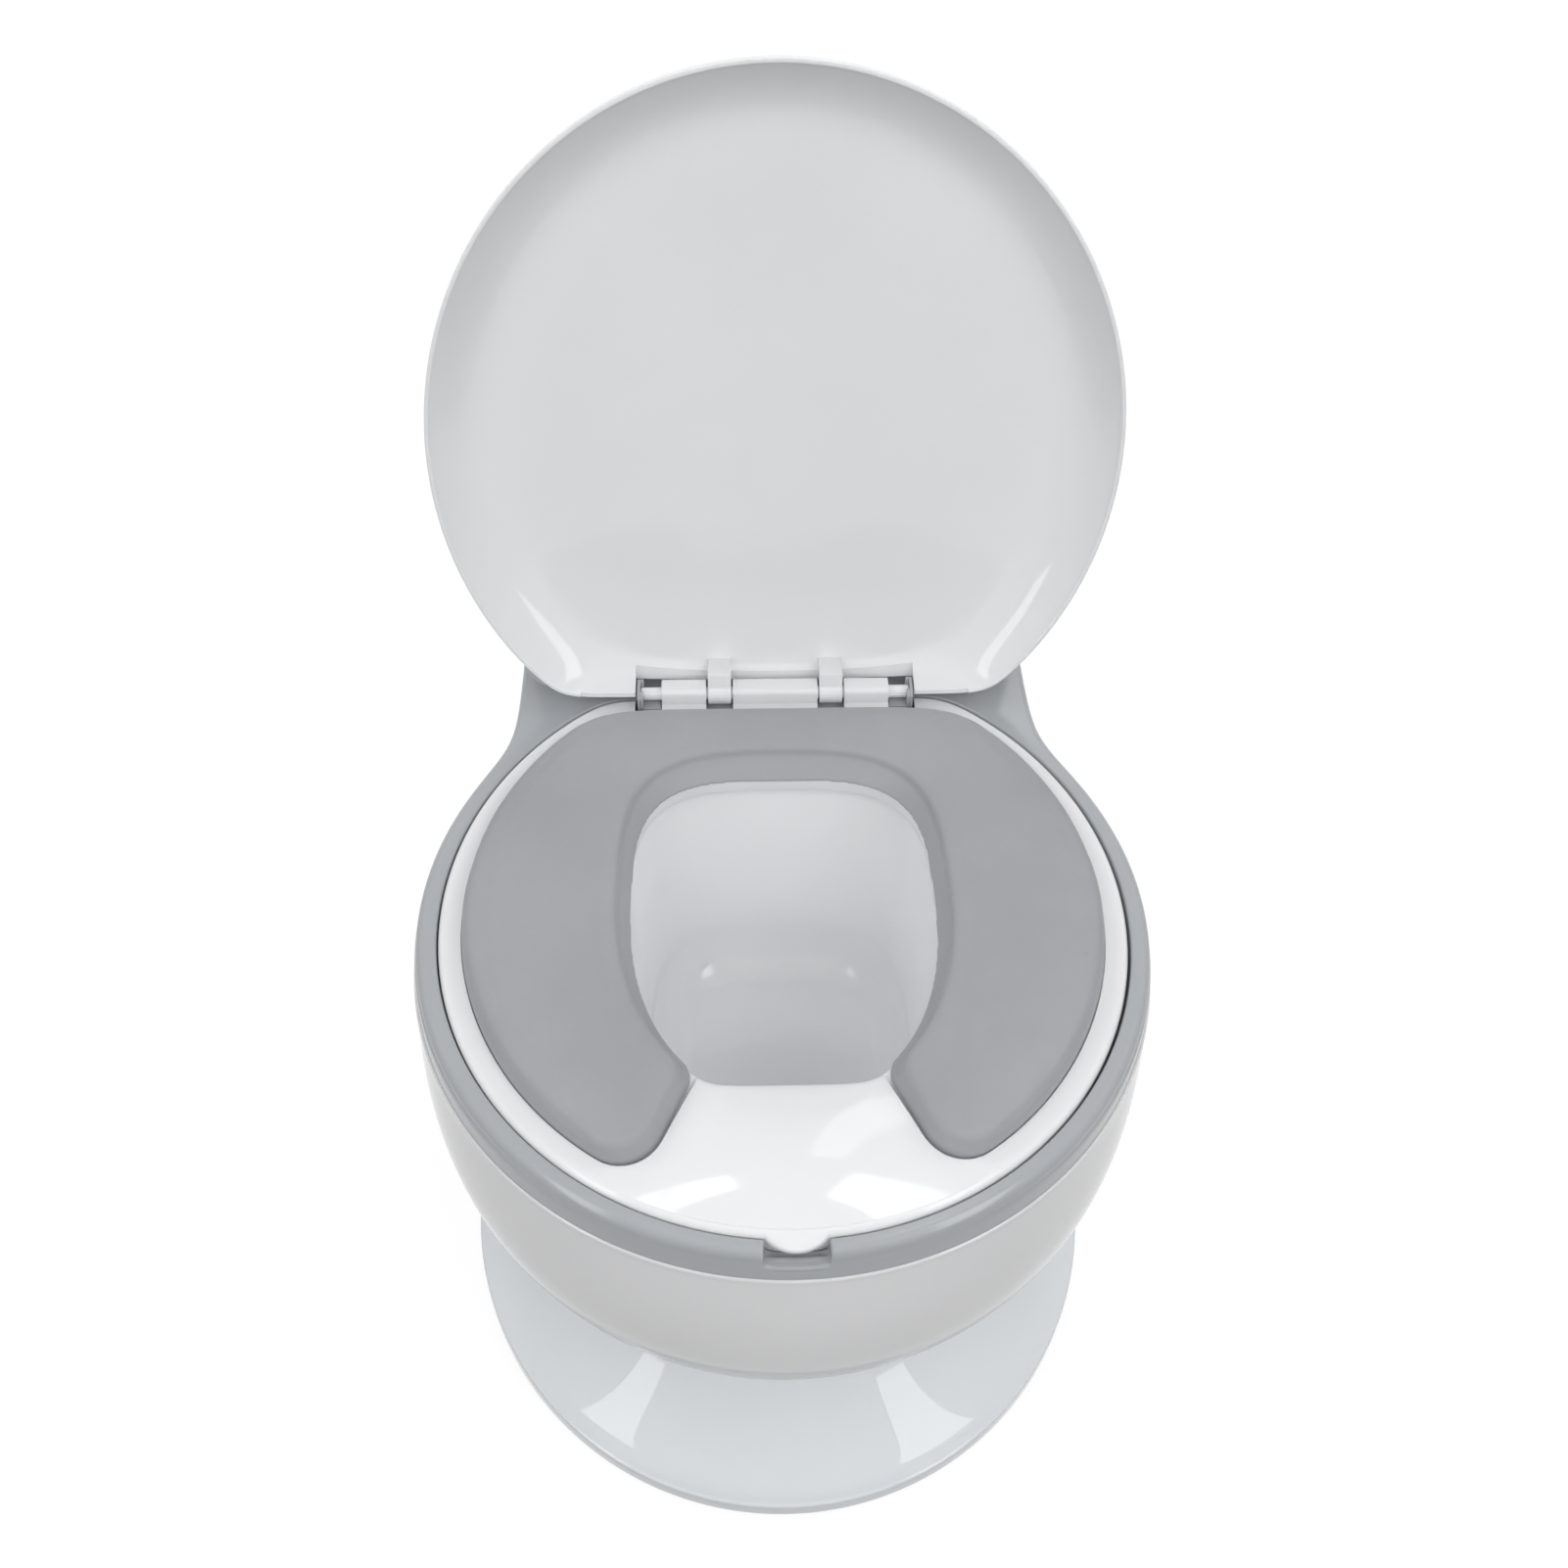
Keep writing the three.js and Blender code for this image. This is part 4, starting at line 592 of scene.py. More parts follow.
def make_cap():
    skirt_in, skirt_out, brim, low, seat, top = -5.1, -2.9, 1.5, 320.3, 328.3, 339.3
    path = round_path(
        [
            (skirt_in, 336.3, 0), (skirt_in, low, 0.4), (skirt_out, low, 0.4),
            (skirt_out, seat, 0), (brim, seat, 0.5), (brim, top, 4), (-20, top, 0),
        ], 6, 0.3,
    )
    rings = []
    for grow, z in path:
        back = BODY_BACK - 7 + grow
        rings.append(squared_ring(TANK_TOP_W + grow, leaning_front(z) - grow, back, z))
    return loft("tank_cap_shell", rings)


def make_brackets():
    """The outer half of each bracket is whole, and its inner half has the open slot for the pin."""
    front, back, low, shoulder, top, slot = 119.5, 132.5, 201.9, 211.4, 213.9, 3.3
    whole = [
        (front, low), (front, shoulder), (front + 2, top), (back - 2, top), (back, shoulder),
        (back, low),
    ]
    bend = np.linspace(math.pi, 2 * math.pi, 15)[1:-1]
    opening = [(HINGE_Y - slot, top), (HINGE_Y - slot, HINGE_Z)]
    opening += [(HINGE_Y + slot * math.cos(t), HINGE_Z + slot * math.sin(t)) for t in bend]
    opening += [(HINGE_Y + slot, HINGE_Z), (HINGE_Y + slot, top)]
    slotted = whole[:3] + opening + whole[3:]
    pieces = []
    for side, tag in SIDES:
        inner = sorted((side * 60.5, side * 61.9))
        outer = sorted((side * 61.9, side * 63.3))
        floor = sorted((side * 52.5, side * 61))
        pieces.append(across(f"bracket_slot_{tag}", slotted, *inner, 0.15))
        pieces.append(across(f"bracket_wall_{tag}", whole, *outer, 0.3))
        pieces.append(block(f"bracket_floor_{tag}", *floor, front, back, low, 205.6, 0.3))
    return pieces


# Pot

def make_pot():
    """The inside from the middle of the floor up to the flange, then the outside back down."""
    mouth = hole_radius(A) + 8
    floor, bend_top, flange_top, corner, wall = 88.8, 110.8, 194.8, 22, 2.4

    def taper(z):
        return 0.76 + 0.24 * (z - floor) / (flange_top - floor)

    def ring(grow, z, share=1.0):
        return level_ring(mouth * share, z, grow)

    low = taper(bend_top)
    rings = [ring(-corner - further, floor, low) for further in (26, 12, 3)]
    for t in quarter(12):
        rings.append(ring(-corner + corner * math.sin(t), bend_top - corner * math.cos(t), low))
    rings += [ring(0, z, taper(z)) for z in np.linspace(116, 190.8, 9)]
    edge_path = [(0.1, 192), (0.5, 193.3), (1.2, 194.2), (2.4, 194.75), (3, flange_top)]
    flange = [(3.2, flange_top, 0), (13, flange_top, 0.8), (13, 192.3, 0.4), (4, 192.3, 0)]
    rings += [ring(grow, z) for grow, z in edge_path + round_path(flange, 3, 0.2) + [(2.6, 191.6)]]
    rings += [ring(wall, z, taper(z)) for z in (188, 150, bend_top)]
    bend = corner + wall
    for t in quarter(7)[1:]:
        rings.append(ring(wall - bend * (1 - math.cos(t)), bend_top - bend * math.sin(t), low))
    rings.append(ring(-40, floor - wall, low))
    return loft("pot_shell", rings)


# Seat ring

MOUTH = math.radians(24.2)


def apron_rise(share):
    """How far the apron at the front swells over the flat top, across the ring by share."""
    a = np.where(A > math.pi / 2, math.pi - A, A)
    a = np.where(A > 1.5 * math.pi, A - 2 * math.pi, a)
    off = (a + math.pi / 2) / math.radians(24)
    return 3.6 * np.exp(-off * off) * math.sin(math.pi * share)


def make_seat():
    """The ring's outside with the tab at its front, its top, the wall of the hole and its hollow
    underside."""
    seat, hole = seat_radius(A), hole_radius(A)
    tab_reach, tab_half, round_in = 4.6, 11.8, 2.4
    x = np.abs(154 * DX)
    tab = np.where(DY < 0, tab_reach * np.clip(1 - (x / tab_half) ** 2, 0, 1), 0.0)
    foot = ((192.3, -2.5), (192.3, -0.6), (192.5, -0.15), (192.9, 0), (199.0, 0))
    rings = [level_ring(seat, z, grow) for z, grow in foot]
    for z, share in ((199.4, 0.1), (199.4, 0.72), (199.7, 0.93), (200.4, 1), (201.6, 1)):
        rings.append(level_ring(seat, z, tab * share))
    for t in quarter(12)[1:]:
        # over the tab the edge is flatter, to stay clear of the lid when that is shut
        z = 201.8 + 3.2 * math.sin(t) - 0.18 * tab * math.sin(2 * t)
        rings.append(level_ring(seat, z, tab - (tab + round_in) * (1 - math.cos(t))))
    for share in np.linspace(0.96, 0.06, 22):
        rings.append(level_ring(between(hole, seat, share), RING_TOP + apron_rise(share)))
    for t in quarter(8)[1:]:
        z = RING_TOP - 2.5 * (1 - math.cos(t))
        rings.append(level_ring(hole, z, 2.8 - 2.5 * math.sin(t)))
    hole_wall = ((202.2, 0.3), (196.6, 0.3), (196.1, 0.6), (196, 1.1), (196, 2.8), (200.2, 2.8))
    rings += [level_ring(hole, z, grow) for z, grow in hole_wall]
    rings.append(level_ring(seat, 200.2, -2.5))
    return loft("seat_ring_shell", rings, looped=True)


def make_recess_walls():
    """Walls of the seat ring round the room that the hinge stands in."""
    end = RECESS_HALF + 2.4
    pieces = [block("recess_wall", -end, end, 115.5, RING_BACK, 192.3, 203.6, 0.2)]
    for side, tag in SIDES:
        span = sorted((side * RECESS_HALF, side * (RECESS_HALF + 2.5)))
        pieces.append(block(f"recess_wall_{tag}", *span, 116.5, 126.2, 192.4, 203.5, 0.2))
    return pieces


# Cushion

SIDE_STEPS = 90
TURN_STEPS = 14
END_STEPS = 6


def cushion_outer(a):
    return soft_min(22, ellipse(132.5, 141, a), edge(112.5, a))


def cushion_half(outside, inside, ends):
    """Half of the cushion's outline in plan: the inner side from back to front, the end at the
    open mouth, then the outer side from front to back."""
    start, back = -math.pi / 2 + MOUTH, math.pi / 2

    def outer(a):
        return at(cushion_outer, a) - outside

    def inner(a):
        return at(hole_radius, a) + inside * (1 + 0.8 * max(math.sin(a), 0) ** 3)

    corner_in, corner_out = 7.0, max(19.0 - outside, 9.0)
    points = []
    nose = start + (ends + corner_in) / inner(start)
    for i in range(SIDE_STEPS + 1):
        a = back + (nose - back) * i / SIDE_STEPS
        points.append(outwards(a, inner(a)))
    for i in range(1, TURN_STEPS + 1):
        bend = i / TURN_STEPS * math.pi / 2
        a = start + (ends + corner_in * (1 - math.sin(bend))) / inner(start)
        points.append(outwards(a, inner(a) + corner_in * (1 - math.cos(bend))))
    turn_out = []
    for i in range(TURN_STEPS + 1):
        bend = i / TURN_STEPS * math.pi / 2
        a = start + (ends + corner_out * (1 - math.cos(bend))) / outer(start)
        turn_out.append(outwards(a, outer(a) - corner_out * (1 - math.sin(bend))))
    (near_x, near_y), (far_x, far_y) = points[-1], turn_out[0]
    for i in range(1, END_STEPS):
        share = i / END_STEPS
        points.append((between(near_x, far_x, share), between(near_y, far_y, share)))
    points += turn_out
    tip = start + (ends + corner_out) / outer(start)
    for i in range(1, SIDE_STEPS + 1):
        a = tip + (back - tip) * i / SIDE_STEPS
        points.append(outwards(a, outer(a)))
    return points


def cushion_loop(z, outside, inside, ends):
    half = cushion_half(outside, inside, ends)
    points = half + [(-x, y) for x, y in half[1:-1][::-1]]
    return np.array([(x, y, z) for x, y in points])


def open_ring(name, rings, rise=0.0):
    """A solid over rings that are shaped like a horseshoe, from the lowest to the highest. Each of
    its two end faces is a strip of faces from the inner side to the outer one, and the top one may
    rise a little along its middle."""
    n = len(rings[0])
    vertices = list(np.concatenate(rings))
    faces = []
    for k in range(len(rings) - 1):
        for i in range(n):
            j = (i + 1) % n
            faces.append((k * n + i, k * n + j, (k + 1) * n + j, (k + 1) * n + i))
    turn_in = SIDE_STEPS + TURN_STEPS
    turn_out = turn_in + END_STEPS
    last = turn_out + TURN_STEPS + SIDE_STEPS
    pairs = [(i, last - i) for i in range(turn_in - 1, -1, -1)]
    pairs += [(n - i, last + i) for i in range(1, turn_in)]
    for start, lift in ((0, 0.0), ((len(rings) - 1) * n, rise)):
        columns = [[start + i for i in range(turn_in, turn_out + 1)]]
        for a, b in pairs:
            pa, pb = vertices[start + a], vertices[start + b]
            column = [start + a]
            for i in range(1, END_STEPS):
                share = i / END_STEPS
                column.append(len(vertices))
                from_end = min(len(columns), len(pairs) + 1 - len(columns)) / TURN_STEPS
                high = lift * math.sin(math.pi * share) * min(from_end, 1)
                vertices.append(between(pa, pb, share) + np.array([0, 0, high]))
            column.append(start + b)
            columns.append(column)
        columns.append([start + n - i for i in range(turn_in, turn_out + 1)])
        for one, two in zip(columns, columns[1:]):
            for i in range(END_STEPS):
                faces.append((one[i], two[i], two[i + 1], one[i + 1]))
    return mesh_object(name, np.array(vertices), faces)


def make_cushion():
    bottom, top = 203.3, 215.9
    edge_radius, hole_edge, slope, end_slope = 5.2, 2.8, 4.6, 2.0
    sides = (
        (0, 0.9, -0.9, 0.9), (0.3, 0.4, -1.0, 0.4), (1.0, 0.05, -0.9, 0.05), (3.5, 0, 0.8, 0.5),
        (6, 0.15, 2.6, 1.2),
    )
    rings = [cushion_loop(bottom + up_by, *insets) for up_by, *insets in sides]
    for t in np.linspace(0, math.pi / 2, 9):
        inset = edge_radius * (1 - math.cos(t))
        z = top - edge_radius + edge_radius * math.sin(t)
        above = max(z - top + hole_edge, 0) / hole_edge
        inside = slope + hole_edge * (1 - math.sqrt(max(1 - above ** 2, 0)))
        rings.append(cushion_loop(z, 0.2 + inset, inside, end_slope + inset))
    for reach, crown in ((1.5, 0.1), (3.5, 0.25), (6, 0.4)):
        inset = edge_radius + reach
        inside = slope + hole_edge + reach
        rings.append(cushion_loop(top + crown, 0.2 + inset, inside, end_slope + inset))
    return swollen(open_ring("cushion", rings, rise=0.1), 0.9)


def even_skin(obj, size):
    """Gives the object a skin of even faces of that size, and returns its points."""
    remesh = obj.modifiers.new("remesh", "REMESH")
    remesh.mode = "VOXEL"
    remesh.voxel_size = size / 1000
    applied(obj)
    return np.array([v.co for v in obj.data.vertices])


def swelling(pad, most):
    """How far pressure from inside moves the pad's skin, as foam fills it: the places that were
    looked at and their moves. What is down in the pocket and the wall round the hole stay, and no
    point moves further than most."""
    skin = pad.copy()
    skin.data = pad.data.copy()
    scene.collection.objects.link(skin)
    start = even_skin(skin, 2)
    x, y, z = start[:, 0] * 1000, start[:, 1] * 1000 - SHIFT, start[:, 2] * 1000
    from_hole = np.hypot(x, y) - hole_radius(np.arctan2(y, x))
    hold = np.maximum(np.clip((211 - z) / 4, 0, 1), np.clip((14 - from_hole) / 4, 0, 1))
    held = skin.vertex_groups.new(name="held")
    for i in np.flatnonzero(hold):
        held.add([int(i)], float(hold[i]), "REPLACE")
    cloth = skin.modifiers.new("cloth", "CLOTH")
    cloth.settings.quality = 5
    cloth.settings.mass = 0.3
    cloth.settings.tension_stiffness = 15
    cloth.settings.compression_stiffness = 15
    cloth.settings.bending_stiffness = 1
    cloth.settings.vertex_group_mass = "held"
    cloth.settings.use_pressure = True
    cloth.settings.uniform_pressure_force = 4
    cloth.settings.effector_weights.gravity = 0
    cloth.collision_settings.use_collision = False
    for step in range(1, 21):
        scene.frame_set(step)
    shown = skin.evaluated_get(bpy.context.evaluated_depsgraph_get())
    move = np.array([v.co for v in shown.data.vertices]) - start
    length = np.maximum(np.linalg.norm(move, axis=1, keepdims=True), 1e-9)
    scene.frame_set(1)
    bpy.data.objects.remove(skin)
    return start, move * np.minimum(1, most / 1000 / length)


def swollen(pad, most):
    """The pad with a fine even skin that has the swelling of a coarser one."""
    places, moves = swelling(pad, most)
    points = even_skin(pad, 1)
    if len(places):
        tree = KDTree(len(places))
        for i, place in enumerate(places):
            tree.insert(place, i)
        tree.balance()
        for k, point in enumerate(points):
            near = tree.find_n(point, 6)
            weight = np.array([1 / (distance + 2e-4) for _, _, distance in near])
            share = weight / weight.sum()
            points[k] = point + share @ moves[[i for _, i, _ in near]]
        pad.data.vertices.foreach_set("co", points.ravel())
    smooth = pad.modifiers.new("smooth", "SMOOTH")
    smooth.factor = 0.5
    smooth.iterations = 8
    applied(pad)
    pad.data.shade_smooth()
    return pad


# Lid, drawn shut about its hinge with its outside up

LID_TOP, LID_INNER, LID_LIP = 14.5, 12.0, -2.3
LID_ROUND, LID_DISH, LID_WALL = 17, 34, 2.3


def lid_ring(wall, bend, z):
    oval = ellipse(LID_W, LID_L, A)
    radius = soft_min(40, oval, edge(LID_CENTRE - LID_CHORD, A))
    reach = radius - wall - bend * (radius / oval) ** 6
    return np.stack([reach * DX, reach * DY - LID_CENTRE, np.full(len(A), z)], 1)


def make_lid():
    rings = [lid_ring(0, LID_ROUND + further, LID_TOP) for further in (100, 50, 15, 3)]
    for t in np.linspace(math.pi / 2, 0, 18):
        z = LID_LIP + (LID_TOP - LID_LIP) * math.sin(t)
        rings.append(lid_ring(0, LID_ROUND * (1 - math.cos(t)), z))
    lip = [(0, -2.5, 0), (0, -4.8, 0.8), (1.8, -4.8, 0.7), (LID_WALL, -3.9, 0)]
    rings += [lid_ring(wall, 0, z) for wall, z in round_path(lip, 4, 0.1)[1:-1]]
    for share in np.linspace(0, 1, 20):
        z = LID_INNER - (LID_INNER + 3.9) * (1 - share) ** 2.6
        rings.append(lid_ring(LID_WALL, LID_DISH * share, z))
    rings += [lid_ring(LID_WALL, LID_DISH + further, LID_INNER) for further in (3, 15, 40, 80)]
    return loft("lid_shell", rings, turn=to_open_lid)


def make_lid_arms():
    radius, foot, shoulder, top = 5.2, -11.5, 3, 13.2
    start = math.pi + math.asin(shoulder / radius)
    bend = np.linspace(start, 2 * math.pi, 16)
    outline = [(foot, top), (foot, -shoulder)]
    outline += [(radius * math.cos(t), radius * math.sin(t)) for t in bend]
    outline += [(radius, shoulder), (2.5, 9), (-0.6, top)]
    pieces = []
    for side, tag in SIDES:
        span = sorted((side * 20.3, side * 30.9))
        pieces.append(across(f"lid_arm_{tag}", outline, *span, 0.5, turn=to_open_lid))
    return pieces


def make_knuckles():
    """The knuckles of the seat ring, which are square with rounded corners."""
    half, corner = 5.2, 2.4
    outline = []
    for side_y, side_z, start in ((1, 1, 0), (-1, 1, 0.5), (-1, -1, 1), (1, -1, 1.5)):
        y, z = HINGE_Y + side_y * (half - corner), HINGE_Z + side_z * (half - corner)
        for t in np.linspace(start * math.pi, (start + 0.5) * math.pi, 6):
            outline.append((y + corner * math.cos(t), z + corner * math.sin(t)))
    pieces = []
    for tag, x0, x1 in (("centre", -19.5, 19.5), ("left", 31.7, 52.2), ("right", -52.2, -31.7)):
        pieces.append(across(f"knuckle_{tag}", outline, x0, x1, 0.4))
        pieces.append(block(f"knuckle_web_{tag}", x0, x1, 115, HINGE_Y, 203.9, 207, 0.3))
    return pieces


# Materials

def new_material(name):
    material = bpy.data.materials.new(name)
    material.use_nodes = True
    nodes, links = material.node_tree.nodes, material.node_tree.links
    shader = nodes["Principled BSDF"]
    return material, nodes, links, shader


def add_node(nodes, kind, **values):
    """A node with values on its sockets. In a name here, _ stands for a space."""
    node = nodes.new(kind)
    for name, value in values.items():
        node.inputs[name.replace("_", " ")].default_value = value
    return node


def add_noise(nodes, links, coords, scale, detail):
    noise = add_node(nodes, "ShaderNodeTexNoise", Scale=scale, Detail=detail)
    links.new(coords.outputs["Object"], noise.inputs["Vector"])
    return noise.outputs["Fac"]


def mottled(nodes, links, shader, low, high, scale, detail=4):
    """A base colour that drifts very slightly between two tones."""
    coords = nodes.new("ShaderNodeTexCoord")
    ramp = nodes.new("ShaderNodeValToRGB")
    for element, position, tone in zip(ramp.color_ramp.elements, (0.3, 0.7), (low, high)):
        element.position = position
        element.color = (*tone, 1)
    links.new(add_noise(nodes, links, coords, scale, detail), ramp.inputs["Fac"])
    links.new(ramp.outputs["Color"], shader.inputs["Base Color"])
    return coords


def uneven_gloss(nodes, links, shader, coords, low, high, scale):
    spread = add_node(
        nodes, "ShaderNodeMapRange", From_Min=0.3, From_Max=0.7, To_Min=low, To_Max=high
    )
    links.new(add_noise(nodes, links, coords, scale, 3), spread.inputs["Value"])
    links.new(spread.outputs["Result"], shader.inputs["Roughness"])


def add_bump(nodes, links, shader, height, strength, distance):
    bump = add_node(nodes, "ShaderNodeBump", Strength=strength, Distance=distance)
    links.new(height, bump.inputs["Height"])
    links.new(bump.outputs["Normal"], shader.inputs["Normal"])


def ripple(nodes, links, shader, coords, scale, strength, distance):
    height = add_noise(nodes, links, coords, scale, 2)
    add_bump(nodes, links, shader, height, strength, distance)


def glossy_plastic(name, low, high, gloss, wave=0.35):
    material, nodes, links, shader = new_material(name)
    coords = mottled(nodes, links, shader, low, high, 9)
    uneven_gloss(nodes, links, shader, coords, *gloss, 38)
    ripple(nodes, links, shader, coords, 55, wave, 0.00006)
    shader.inputs["Specular IOR Level"].default_value = 0.5
    return material


def soft_skin():
    material, nodes, links, shader = new_material("cushion_skin")
    coords = mottled(nodes, links, shader, (0.335, 0.338, 0.355), (0.37, 0.373, 0.39), 14, 6)
    uneven_gloss(nodes, links, shader, coords, 0.5, 0.64, 60)
    pores = add_node(nodes, "ShaderNodeTexVoronoi", Scale=900)
    pits = add_node(nodes, "ShaderNodeMapRange", From_Min=0.0, From_Max=0.42)
    total = nodes.new("ShaderNodeMath")
    total.operation = "ADD"
    links.new(coords.outputs["Object"], pores.inputs["Vector"])
    links.new(pores.outputs["Distance"], pits.inputs["Value"])
    links.new(pits.outputs["Result"], total.inputs[0])
    links.new(add_noise(nodes, links, coords, 420, 4), total.inputs[1])
    add_bump(nodes, links, shader, total.outputs["Value"], 0.35, 0.00012)
    shader.inputs["Specular IOR Level"].default_value = 0.35
    shader.inputs["Sheen Weight"].default_value = 0.12
    shader.inputs["Sheen Roughness"].default_value = 0.5
    return material


def pad_material():
    material, nodes, links, shader = new_material("pad_rubber")
    coords = mottled(nodes, links, shader, (0.07, 0.07, 0.074), (0.10, 0.10, 0.105), 60)
    uneven_gloss(nodes, links, shader, coords, 0.75, 0.9, 80)
    ripple(nodes, links, shader, coords, 700, 0.4, 0.0001)
    return material


def screw_material():
    material, nodes, links, shader = new_material("screw_steel")
    coords = mottled(nodes, links, shader, (0.50, 0.51, 0.53), (0.60, 0.61, 0.63), 200)
    uneven_gloss(nodes, links, shader, coords, 0.28, 0.42, 300)
    ripple(nodes, links, shader, coords, 900, 0.3, 0.00005)
    shader.inputs["Metallic"].default_value = 1.0
    return material


PLASTICS = {
    "white": ("white_plastic", (0.80, 0.805, 0.815), (0.83, 0.835, 0.845), (0.05, 0.08)),
    # the bowl's tones are the lid's white plastic made darker: painted shade
    "bowl": ("bowl_plastic_painted_shade", (0.725, 0.727, 0.735), (0.755, 0.757, 0.765), (0.05, 0.08)),
    "foot": ("foot_plastic", (0.72, 0.745, 0.77), (0.745, 0.77, 0.795), (0.02, 0.035), 0.12),
    "pot": ("pot_plastic", (0.845, 0.855, 0.865), (0.87, 0.88, 0.89), (0.07, 0.11)),
    "grey": ("grey_plastic", (0.375, 0.39, 0.41), (0.40, 0.415, 0.435), (0.10, 0.16)),
}
LOOKS = {look: (glossy_plastic(*values), values[0]) for look, values in PLASTICS.items()}
# the bowl is of the same plastic as the lid, so it shares its slot; its darker tone is painted
# shade, for the shade that falls on the bowl
LOOKS["bowl"] = (LOOKS["bowl"][0], "white_plastic")
LOOKS["cushion"] = (soft_skin(), "cushion_skin")
LOOKS["rubber"] = (pad_material(), "pad_rubber")
LOOKS["steel"] = (screw_material(), "screw_steel")


def dress(obj, look, body, *stands_for):
    material, slot = LOOKS[look]
    obj.data.materials.clear()
    obj.data.materials.append(material)
    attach(obj, body)
    if stands_for:
        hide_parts(*stands_for)
    return obj


# Assembly

dress(make_foot(), "foot", "base", "foot_base")
for piece in make_foot_inside():
    dress(piece, "foot", "base")
# the bowl wears the darker copy of the white plastic, which paints its shade
dress(make_bowl(), "bowl", "base", "bowl_shell")
for piece, look in make_screw_posts():
    dress(piece, look, "base")
dress(make_rim(), "grey", "base", "upper_body")
dress(make_tongue(), "grey", "base")
dress(make_tank(), "grey", "base")
for piece in make_brackets():
    dress(piece, "grey", "base")
dress(make_cap(), "grey", "base", "tank_cap")
dress(make_pot(), "pot", "pot", "pot")

pocket = open_ring("pocket", [cushion_loop(z, -0.5, -6, -1.3) for z in (203.0, 222.0)])
recess = block("recess", -RECESS_HALF, RECESS_HALF, RING_BACK, 140, 180, 220)
seat = carved(make_seat(), [pocket, recess])
dress(seat, "white", "seat", "seat_ring")
for piece in make_recess_walls() + make_knuckles():
    dress(piece, "white", "seat")
cushion = dress(make_cushion(), "cushion", "seat", "seat_cushion")

hinge_room = block("hinge_room", -64.1, 64.1, -11, 11, -20, 9.5, turn=to_open_lid)
ear_room = block("ear_room", -88.9, 88.9, -8, 5, -20, -3.7, turn=to_open_lid)
dress(carved(make_lid(), [hinge_room, ear_room]), "white", "lid", "lid")
for piece in make_lid_arms():
    dress(piece, "white", "lid")

for name, node in frame["nodes"].items():
    for word, look in (("pad", "rubber"), ("screw", "steel"), ("pin", "white")):
        if word in name:
            node.data.materials.clear()
            node.data.materials.append(LOOKS[look][0])


# Floor, light and background

def white_to_the_eye(nodes, links):
    """1 for a ray from the camera and for a mirrored or refracted one, which show the white studio,
    and 0 for the light that falls on the object."""
    path = nodes.new("ShaderNodeLightPath")
    first = nodes.new("ShaderNodeMath")
    second = nodes.new("ShaderNodeMath")
    first.operation = second.operation = "MAXIMUM"
    links.new(path.outputs["Is Camera Ray"], first.inputs[0])
    links.new(path.outputs["Is Glossy Ray"], first.inputs[1])
    links.new(first.outputs["Value"], second.inputs[0])
    links.new(path.outputs["Is Transmission Ray"], second.inputs[1])
    return second.outputs["Value"]


def make_floor():
    """A pale floor that keeps the object's shadow and runs into the white background, whose glow
    rises with the distance from the object."""
    floor = bpy.data.meshes.new("floor")
    floor.from_pydata([(-6, -6, 0), (6, -6, 0), (6, 6, 0), (-6, 6, 0)], [], [(0, 1, 2, 3)])
    floor_object = bpy.data.objects.new("floor", floor)
    scene.collection.objects.link(floor_object)
    material, nodes, links, shader = new_material("floor_pale")
    mottled(nodes, links, shader, (0.14, 0.14, 0.14), (0.16, 0.16, 0.16), 2)
    shader.inputs["Roughness"].default_value = 0.9
    shader.inputs["Specular IOR Level"].default_value = 0.1
    glow = nodes.new("ShaderNodeEmission")
    place = nodes.new("ShaderNodeTexCoord")
    away = nodes.new("ShaderNodeVectorMath")
    away.operation = "LENGTH"
    rise = add_node(
        nodes, "ShaderNodeMapRange", From_Min=0.4, From_Max=2.2, To_Min=0.87, To_Max=0.98
    )
    lit = nodes.new("ShaderNodeAddShader")
    both = nodes.new("ShaderNodeMixShader")
    links.new(place.outputs["Object"], away.inputs[0])
    links.new(away.outputs["Value"], rise.inputs["Value"])
    links.new(rise.outputs["Result"], glow.inputs["Strength"])
    links.new(shader.outputs["BSDF"], lit.inputs[0])
    links.new(glow.outputs["Emission"], lit.inputs[1])
    links.new(white_to_the_eye(nodes, links), both.inputs["Fac"])
    links.new(shader.outputs["BSDF"], both.inputs[1])
    links.new(lit.outputs["Shader"], both.inputs[2])
    links.new(both.outputs["Shader"], nodes["Material Output"].inputs["Surface"])
    floor.materials.append(material)
    return floor_object


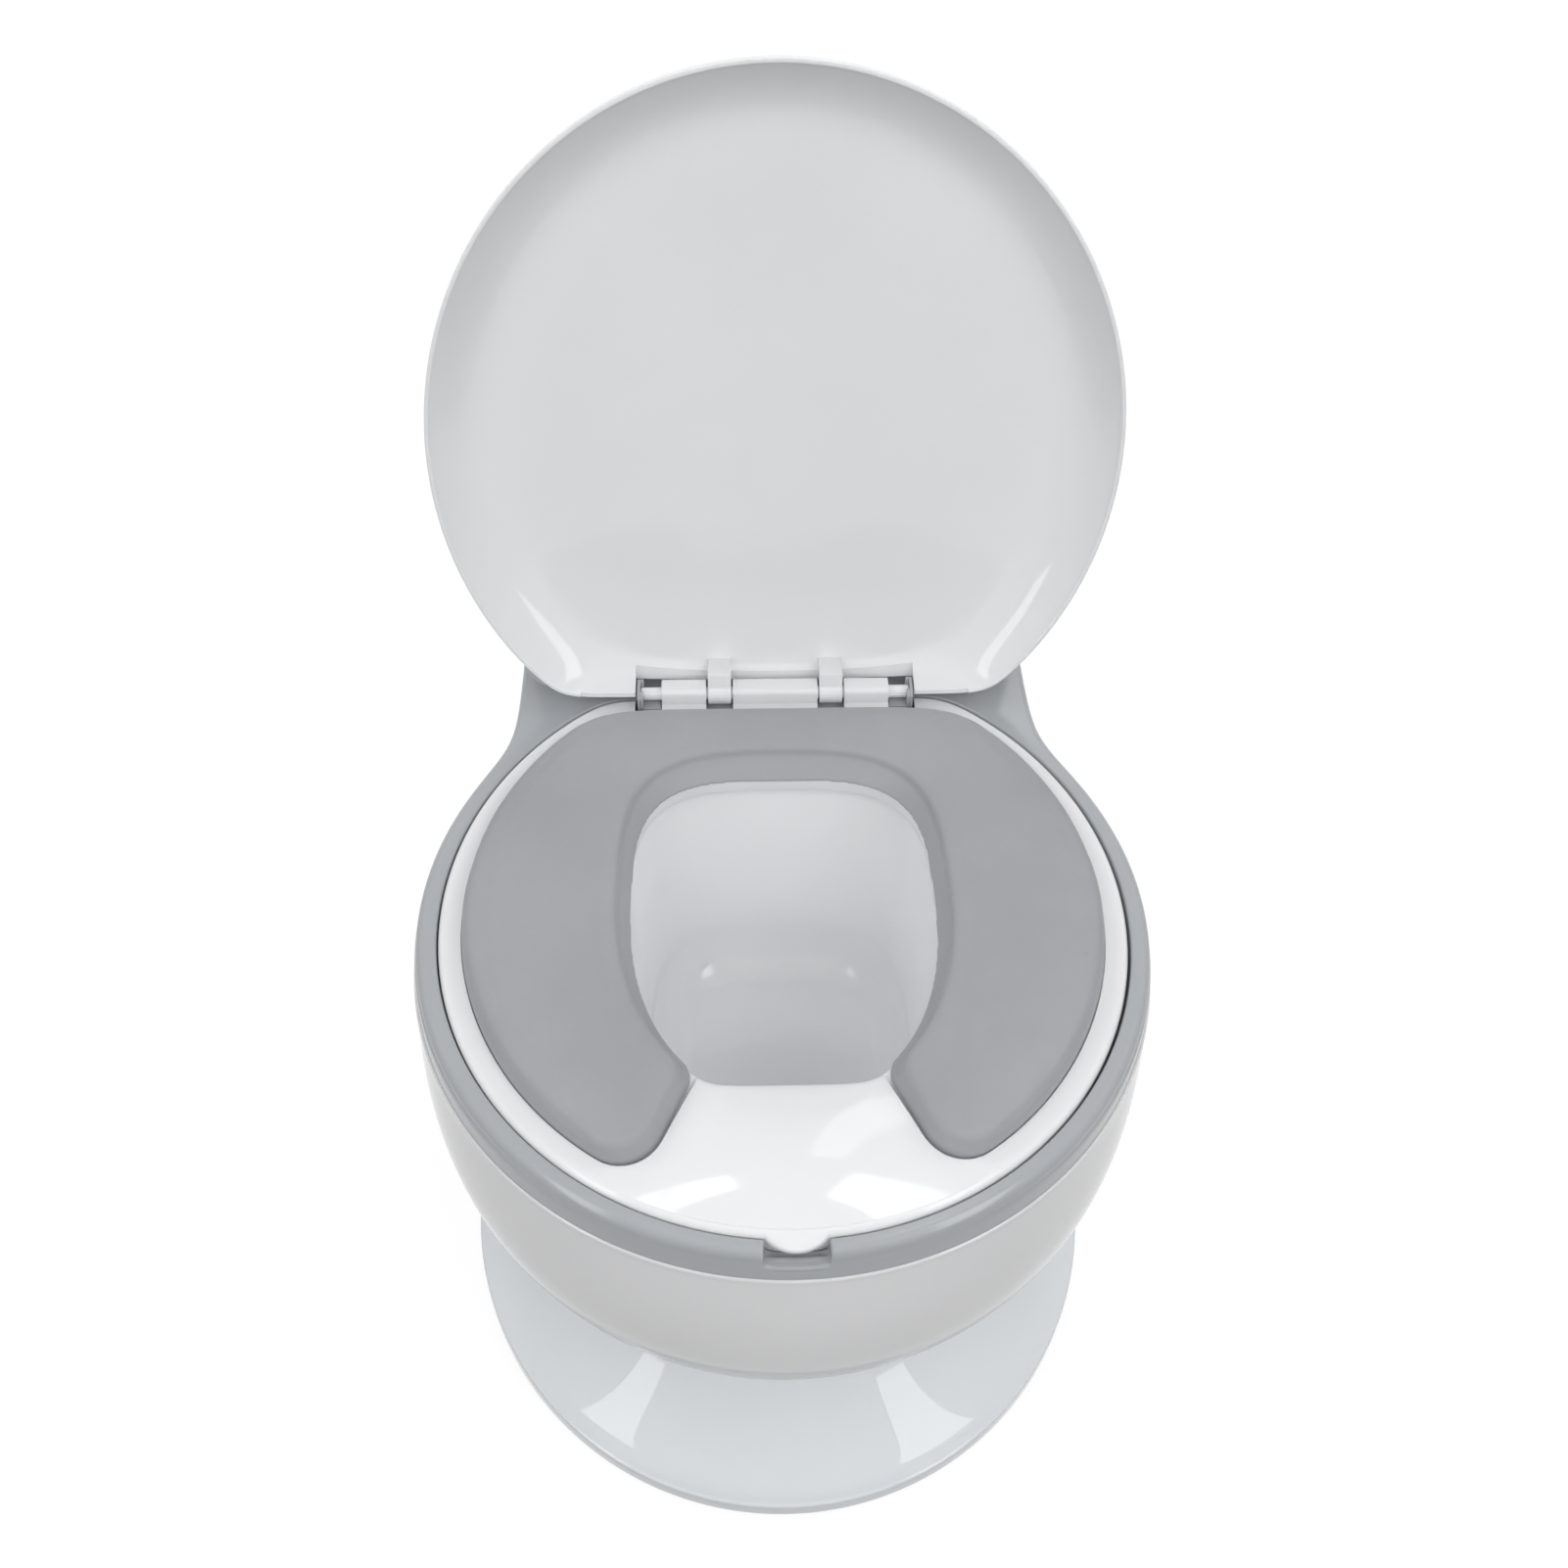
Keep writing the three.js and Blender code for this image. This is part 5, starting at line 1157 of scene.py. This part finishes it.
def make_world():
    """White to the eye, and a dim room for the light that falls on the object."""
    world = bpy.data.worlds.new("studio")
    scene.world = world
    world.use_nodes = True
    nodes, links = world.node_tree.nodes, world.node_tree.links
    nodes.clear()
    seen = add_node(nodes, "ShaderNodeBackground", Color=(1, 1, 1, 1), Strength=1.0)
    room = add_node(nodes, "ShaderNodeBackground", Color=(0.97, 0.98, 1.0, 1), Strength=0.18)
    mix = nodes.new("ShaderNodeMixShader")
    output = nodes.new("ShaderNodeOutputWorld")
    links.new(white_to_the_eye(nodes, links), mix.inputs["Fac"])
    links.new(room.outputs["Background"], mix.inputs[1])
    links.new(seen.outputs["Background"], mix.inputs[2])
    links.new(mix.outputs["Shader"], output.inputs["Surface"])


def area_light(name, place, target, size, power, mirrored=True):
    data = bpy.data.lights.new(name, "AREA")
    data.shape = "RECTANGLE"
    data.size, data.size_y = size
    data.energy = power
    light = bpy.data.objects.new(name, data)
    light.location = place
    light.rotation_euler = (Vector(target) - Vector(place)).to_track_quat("-Z", "Y").to_euler()
    light.visible_glossy = mirrored
    scene.collection.objects.link(light)
    return light


def tall_box(name, low, high, width, target, power):
    """A tall soft box that leans from low to high and faces the target."""
    low, high = Vector(low), Vector(high)
    light = area_light(name, (low + high) / 2, target, (width, (high - low).length), power)
    along = (high - low).normalized()
    away = light.location - Vector(target)
    away = (away - along * away.dot(along)).normalized()
    turn = Matrix((along.cross(away), along, away)).transposed()
    light.rotation_euler = turn.to_euler()


floor_object = make_floor()
make_world()
area_light("key", (0.0, -1.36, 1.38), (0, 0, 0.2), (1.6, 1.1), 14.0, mirrored=False)
area_light("overhead", (0.0, 0.3, 2.1), (0, 0, 0.2), (1.6, 1.0), 1.5, mirrored=False)
area_light("side_left", (-1.22, 0.45, 1.3), (0, 0.1, 0.2), (0.8, 0.8), 5.5, mirrored=False)
area_light("side_right", (1.22, 0.45, 1.3), (0, 0.1, 0.2), (0.8, 0.8), 5.5, mirrored=False)
tall_box("box_left", (-1.55, -1.5, 0.42), (-0.80, -0.31, 1.5), 0.32, (0, -0.16, 0.05), 5.6)
tall_box("box_right", (1.32, -1.69, 0.5), (0.69, -0.30, 1.54), 0.40, (0, -0.16, 0.05), 7.0)
area_light("back", (0.0, 1.6, 1.2), (0, 0, 0.25), (1.2, 0.8), 13.0, mirrored=False)
area_light("strip_left", (-0.22, 0.5, 1.9), (-0.04, -0.17, 0.2), (0.1, 0.16), 0.25)
area_light("strip_right", (0.31, 0.42, 1.9), (0.03, -0.17, 0.2), (0.14, 0.3), 0.5)
area_light("strip_back", (0.33, 1.3, 1.9), (0.03, -0.13, 0.2), (0.2, 0.9), 1.0)

scene.view_settings.view_transform = "Standard"
